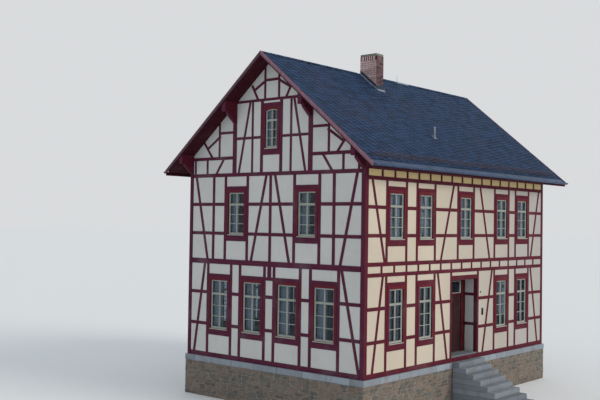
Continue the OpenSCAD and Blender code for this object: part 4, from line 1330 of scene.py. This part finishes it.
class HOUSE_OT_chimney(bpy.types.Operator):
    """Lay the bricks, the head and the flashing of the chimney, and fit the pipe and the ridge rod"""

    bl_idname = "house.chimney"
    bl_label = "Chimney"

    def execute(self, context):
        layer = Layer()
        start = TOP - PITCH * (MIDDLE_Y - CHIMNEY_LOW.y) - 0.25
        courses = int((CHIMNEY_HIGH.z - start) / sizes().brick_height)
        height = (CHIMNEY_HIGH.z - start) / courses
        brick = cube_shape(0.03)
        random.seed(41)
        for course in range(courses):
            for axis in (0, 1):
                middle = start + height * (course + 0.5)
                self.course(layer, brick, middle, height, axis, course % 2 == axis)
        piece("chimney_bricks", layer.bm, "red_brick")
        self.head()
        self.flashing()
        self.fittings()
        return {"FINISHED"}

    def course(self, layer, brick, z, height, axis, between):
        """One course on two opposite faces, lapped at the corners with the other two."""
        proud, joint, deep = 0.004, 0.010, 0.10
        grow = proud + joint / 2
        if between:
            grow -= deep + joint / 2
        a, b = CHIMNEY_LOW[axis] - grow, CHIMNEY_HIGH[axis] + grow
        count = max(1, round((b - a) / sizes().brick_length))
        step = (b - a) / count
        size = (step - joint, deep, height - joint)
        for k in range(count):
            for far in (False, True):
                at = a + step * (k + 0.5)
                layer.lay(brick, along_face((CHIMNEY_LOW, CHIMNEY_HIGH), axis, far, at, z, size, proud))

    def head(self):
        """Bricks on end round a sooty core, under a slab."""
        core, slab = sorted(islands("chimney_cap"), key=lambda box: box[0].z)
        layer = Layer()
        random.seed(43)
        tall = slab[0].z - CHIMNEY_HIGH.z
        z, deep, filled = CHIMNEY_HIGH.z + tall / 2, 0.095, 0.62
        pier = cube_shape(0.04)
        for axis, count in ((0, 5), (1, 8)):
            low, high = slab[0][axis], slab[1][axis]
            step = (high - low) / count
            spare = step * (1 - filled) / 2
            for k in range(count):
                at = low + step * (k + 0.5) + spare * ((k == count - 1) - (k == 0))
                for far in (False, True):
                    place = along_face(slab, axis, far, at, z, (step * filled, deep, tall))
                    layer.lay(pier, place, darkest=0.5)
        piece("chimney_piers", layer.bm, "red_brick", ["chimney_cap"])
        for name, material, box, bevel in (("core", "soot", core, 0.0),
                                           ("slab", "chimney_slab", slab, 0.008)):
            bm = bmesh.new()
            block(bm, *box, bevel)
            piece(f"chimney_{name}", bm, material, ["chimney_cap"])

    def flashing(self):
        """Sheets lying on the slates round the stack, beside the upright flashing."""
        bm = bmesh.new()
        matrix = slope_matrix(-1)
        left, right, thick = CHIMNEY_LOW.x, CHIMNEY_HIGH.x, 0.006
        start, end = up_slope(CHIMNEY_LOW.y), up_slope(CHIMNEY_HIGH.y)
        apron, gap, lip, tall = 0.05, 0.007, 0.02, 0.045
        for x0, x1 in ((left - apron, left - gap), (right + gap, right + apron)):
            block(bm, (x0, start - lip, 0.0), (x1, end, thick), 0.002, matrix)
        for x in (left - apron - lip, right + apron):
            block(bm, (x, start - lip, 0.0), (x + lip, end, tall), 0.004, matrix)
        low, high = (left - 0.01, start - 0.15, 0.002), (right + 0.01, start - 0.008, 0.002 + thick)
        block(bm, low, high, 0.002, matrix)
        piece("chimney_aprons", bm, "lead_sheet")

    def fittings(self):
        """A collar on the roof pipe, and a rod on a pale sheet at the ridge."""
        bm, pipe = bmesh.new(), bmesh.new()
        low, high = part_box("roof_vent")
        centre, plate = (low + high) / 2, 0.006
        t = up_slope(centre.y)
        matrix = slope_matrix(-1)
        block(pipe, (centre.x - 0.09, t - 0.10, 0.0), (centre.x + 0.09, t + 0.10, plate), 0.002, matrix)
        radius = (high.x - low.x) / 2 + 0.012
        cone(pipe, radius, radius * 0.7, 0.05, Matrix.Translation((centre.x, centre.y, high.z - 0.03)), 20)
        x = CHIMNEY_HIGH.x + 1.75
        block(bm, (x, SLOPE_LENGTH - 0.11, plate), (x + 0.86, SLOPE_LENGTH - 0.004, 0.014), 0.002, matrix)
        cone(bm, 0.008, 0.006, 0.26, Matrix.Translation((x + 0.10, MIDDLE_Y - 0.05, TOP + 0.10)), 10)
        block(bm, (x + 0.05, MIDDLE_Y - 0.09, TOP - 0.06), (x + 0.15, MIDDLE_Y - 0.01, TOP - 0.005), 0.006)
        piece("ridge_rod", bm, "lead_sheet")
        piece("pipe_collar", pipe, "pipe_sheet")


# Entrance

# Foot and height of the door's lower and upper recesses, and the width of the leaf's members
RECESSES = ((0.15, 0.85), (1.13, 0.67))
LEAF_MEMBER = 0.12

# Places on the front wall from its lower left corner, across and up, and the plate's width and height
BELL_PLACE = (6.77, 2.23)
PLATE_PLACE = (6.85, 1.43)
PLATE_SIZE = (0.13, 0.24)


class HOUSE_OT_entrance(bpy.types.Operator):
    """Fit the light over the door, the door's mouldings and the small fittings beside it"""

    bl_idname = "house.entrance"
    bl_label = "Entrance"

    def execute(self, context):
        self.light()
        self.leaf()
        self.fittings()
        return {"FINISHED"}

    def light(self):
        """A fixed window between the transom and the head of the door frame."""
        bars = sorted((box for box in islands("door_frame") if box[1].z - box[0].z < 0.2),
                      key=lambda box: box[0].z)
        (low, high), (above, _) = bars[:2]
        foot, head, middle = high.z, above.z, (low.y + high.y) / 2
        frames, panes = bmesh.new(), bmesh.new()
        inset, lap = 0.02, 0.012
        surround(frames, wall_matrix("front"), (low.x - lap, high.x + lap), (foot, head),
                 (inset - high.y, -low.y - inset), 0.062, 0.022, 0.022)
        half = 0.002
        block(panes, (low.x + inset, middle - half, foot + inset),
              (high.x - inset, middle + half, head - inset))
        piece("door_light_frame", frames, "window_paint")
        piece("door_light_glass", panes, "window_glass")

    def leaf(self):
        """Fielded panels and beads in the four recesses of the leaf."""
        low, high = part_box("door_leaf")
        bm = bmesh.new()
        matrix, bead, margin = wall_matrix("front"), 0.016, 0.040
        wide = (high.x - low.x - 3 * LEAF_MEMBER) / 2
        floor = -low.y - 0.012
        for column in (0, 1):
            for foot, tall in RECESSES:
                x0, z0 = low.x + LEAF_MEMBER + column * (wide + LEAF_MEMBER), low.z + foot
                x1, z1 = x0 + wide, z0 + tall
                surround(bm, matrix, (x0, x1), (z0, z1), (floor, -low.y - 0.001), bead, bead, bead, 0.004)
                member(bm, matrix, (x0 + margin, x1 - margin), (z0 + margin, z1 - margin),
                       (floor, -low.y - 0.003), 0.007)
        piece("door_panels", bm, "door_paint", body=DOOR)

    def fittings(self):
        """A bell push and a bare plate on the plaster to the right of the porch."""
        bm = bmesh.new()
        back = WALL_LOW.y + 0.004
        bell = Matrix.Translation((WALL_LOW.x + BELL_PLACE[0], back, WALL_LOW.z + BELL_PLACE[1]))
        cone(bm, 0.032, 0.026, 0.018, bell @ Matrix.Rotation(math.pi / 2, 4, "X"), 24)
        x, z = WALL_LOW.x + PLATE_PLACE[0], WALL_LOW.z + PLATE_PLACE[1]
        block(bm, (x, back, z), (x + PLATE_SIZE[0], back + 0.008, z + PLATE_SIZE[1]), 0.003)
        piece("wall_fittings", bm, "iron_fittings")


OPERATORS = [HOUSE_OT_stage, HOUSE_OT_walls, HOUSE_OT_slates, HOUSE_OT_eaves,
             HOUSE_OT_windows, HOUSE_OT_plinth, HOUSE_OT_chimney, HOUSE_OT_entrance]


class HOUSE_PT_panel(bpy.types.Panel):
    """Sizes, colours and pieces of the house"""

    bl_idname = "HOUSE_PT_panel"
    bl_label = "Half Timbered House"
    bl_space_type = "VIEW_3D"
    bl_region_type = "UI"
    bl_category = "House"

    def draw(self, context):
        for group in (context.scene.house_sizes, context.scene.house_colours):
            column = self.layout.column()
            for name in group.__annotations__:
                column.prop(group, name)
        for operator in OPERATORS:
            self.layout.operator(operator.bl_idname)


CLASSES = [HouseSizes, HouseColours, *OPERATORS, HOUSE_PT_panel]


def register():
    for cls in CLASSES:
        bpy.utils.register_class(cls)
    bpy.types.Scene.house_sizes = bpy.props.PointerProperty(type=HouseSizes)
    bpy.types.Scene.house_colours = bpy.props.PointerProperty(type=HouseColours)


def unregister():
    del bpy.types.Scene.house_colours
    del bpy.types.Scene.house_sizes
    for cls in reversed(CLASSES):
        bpy.utils.unregister_class(cls)


def main():
    register()
    for operator in OPERATORS:
        group, name = operator.bl_idname.split(".")
        getattr(getattr(bpy.ops, group), name)()


if __name__ == "__main__":
    main()
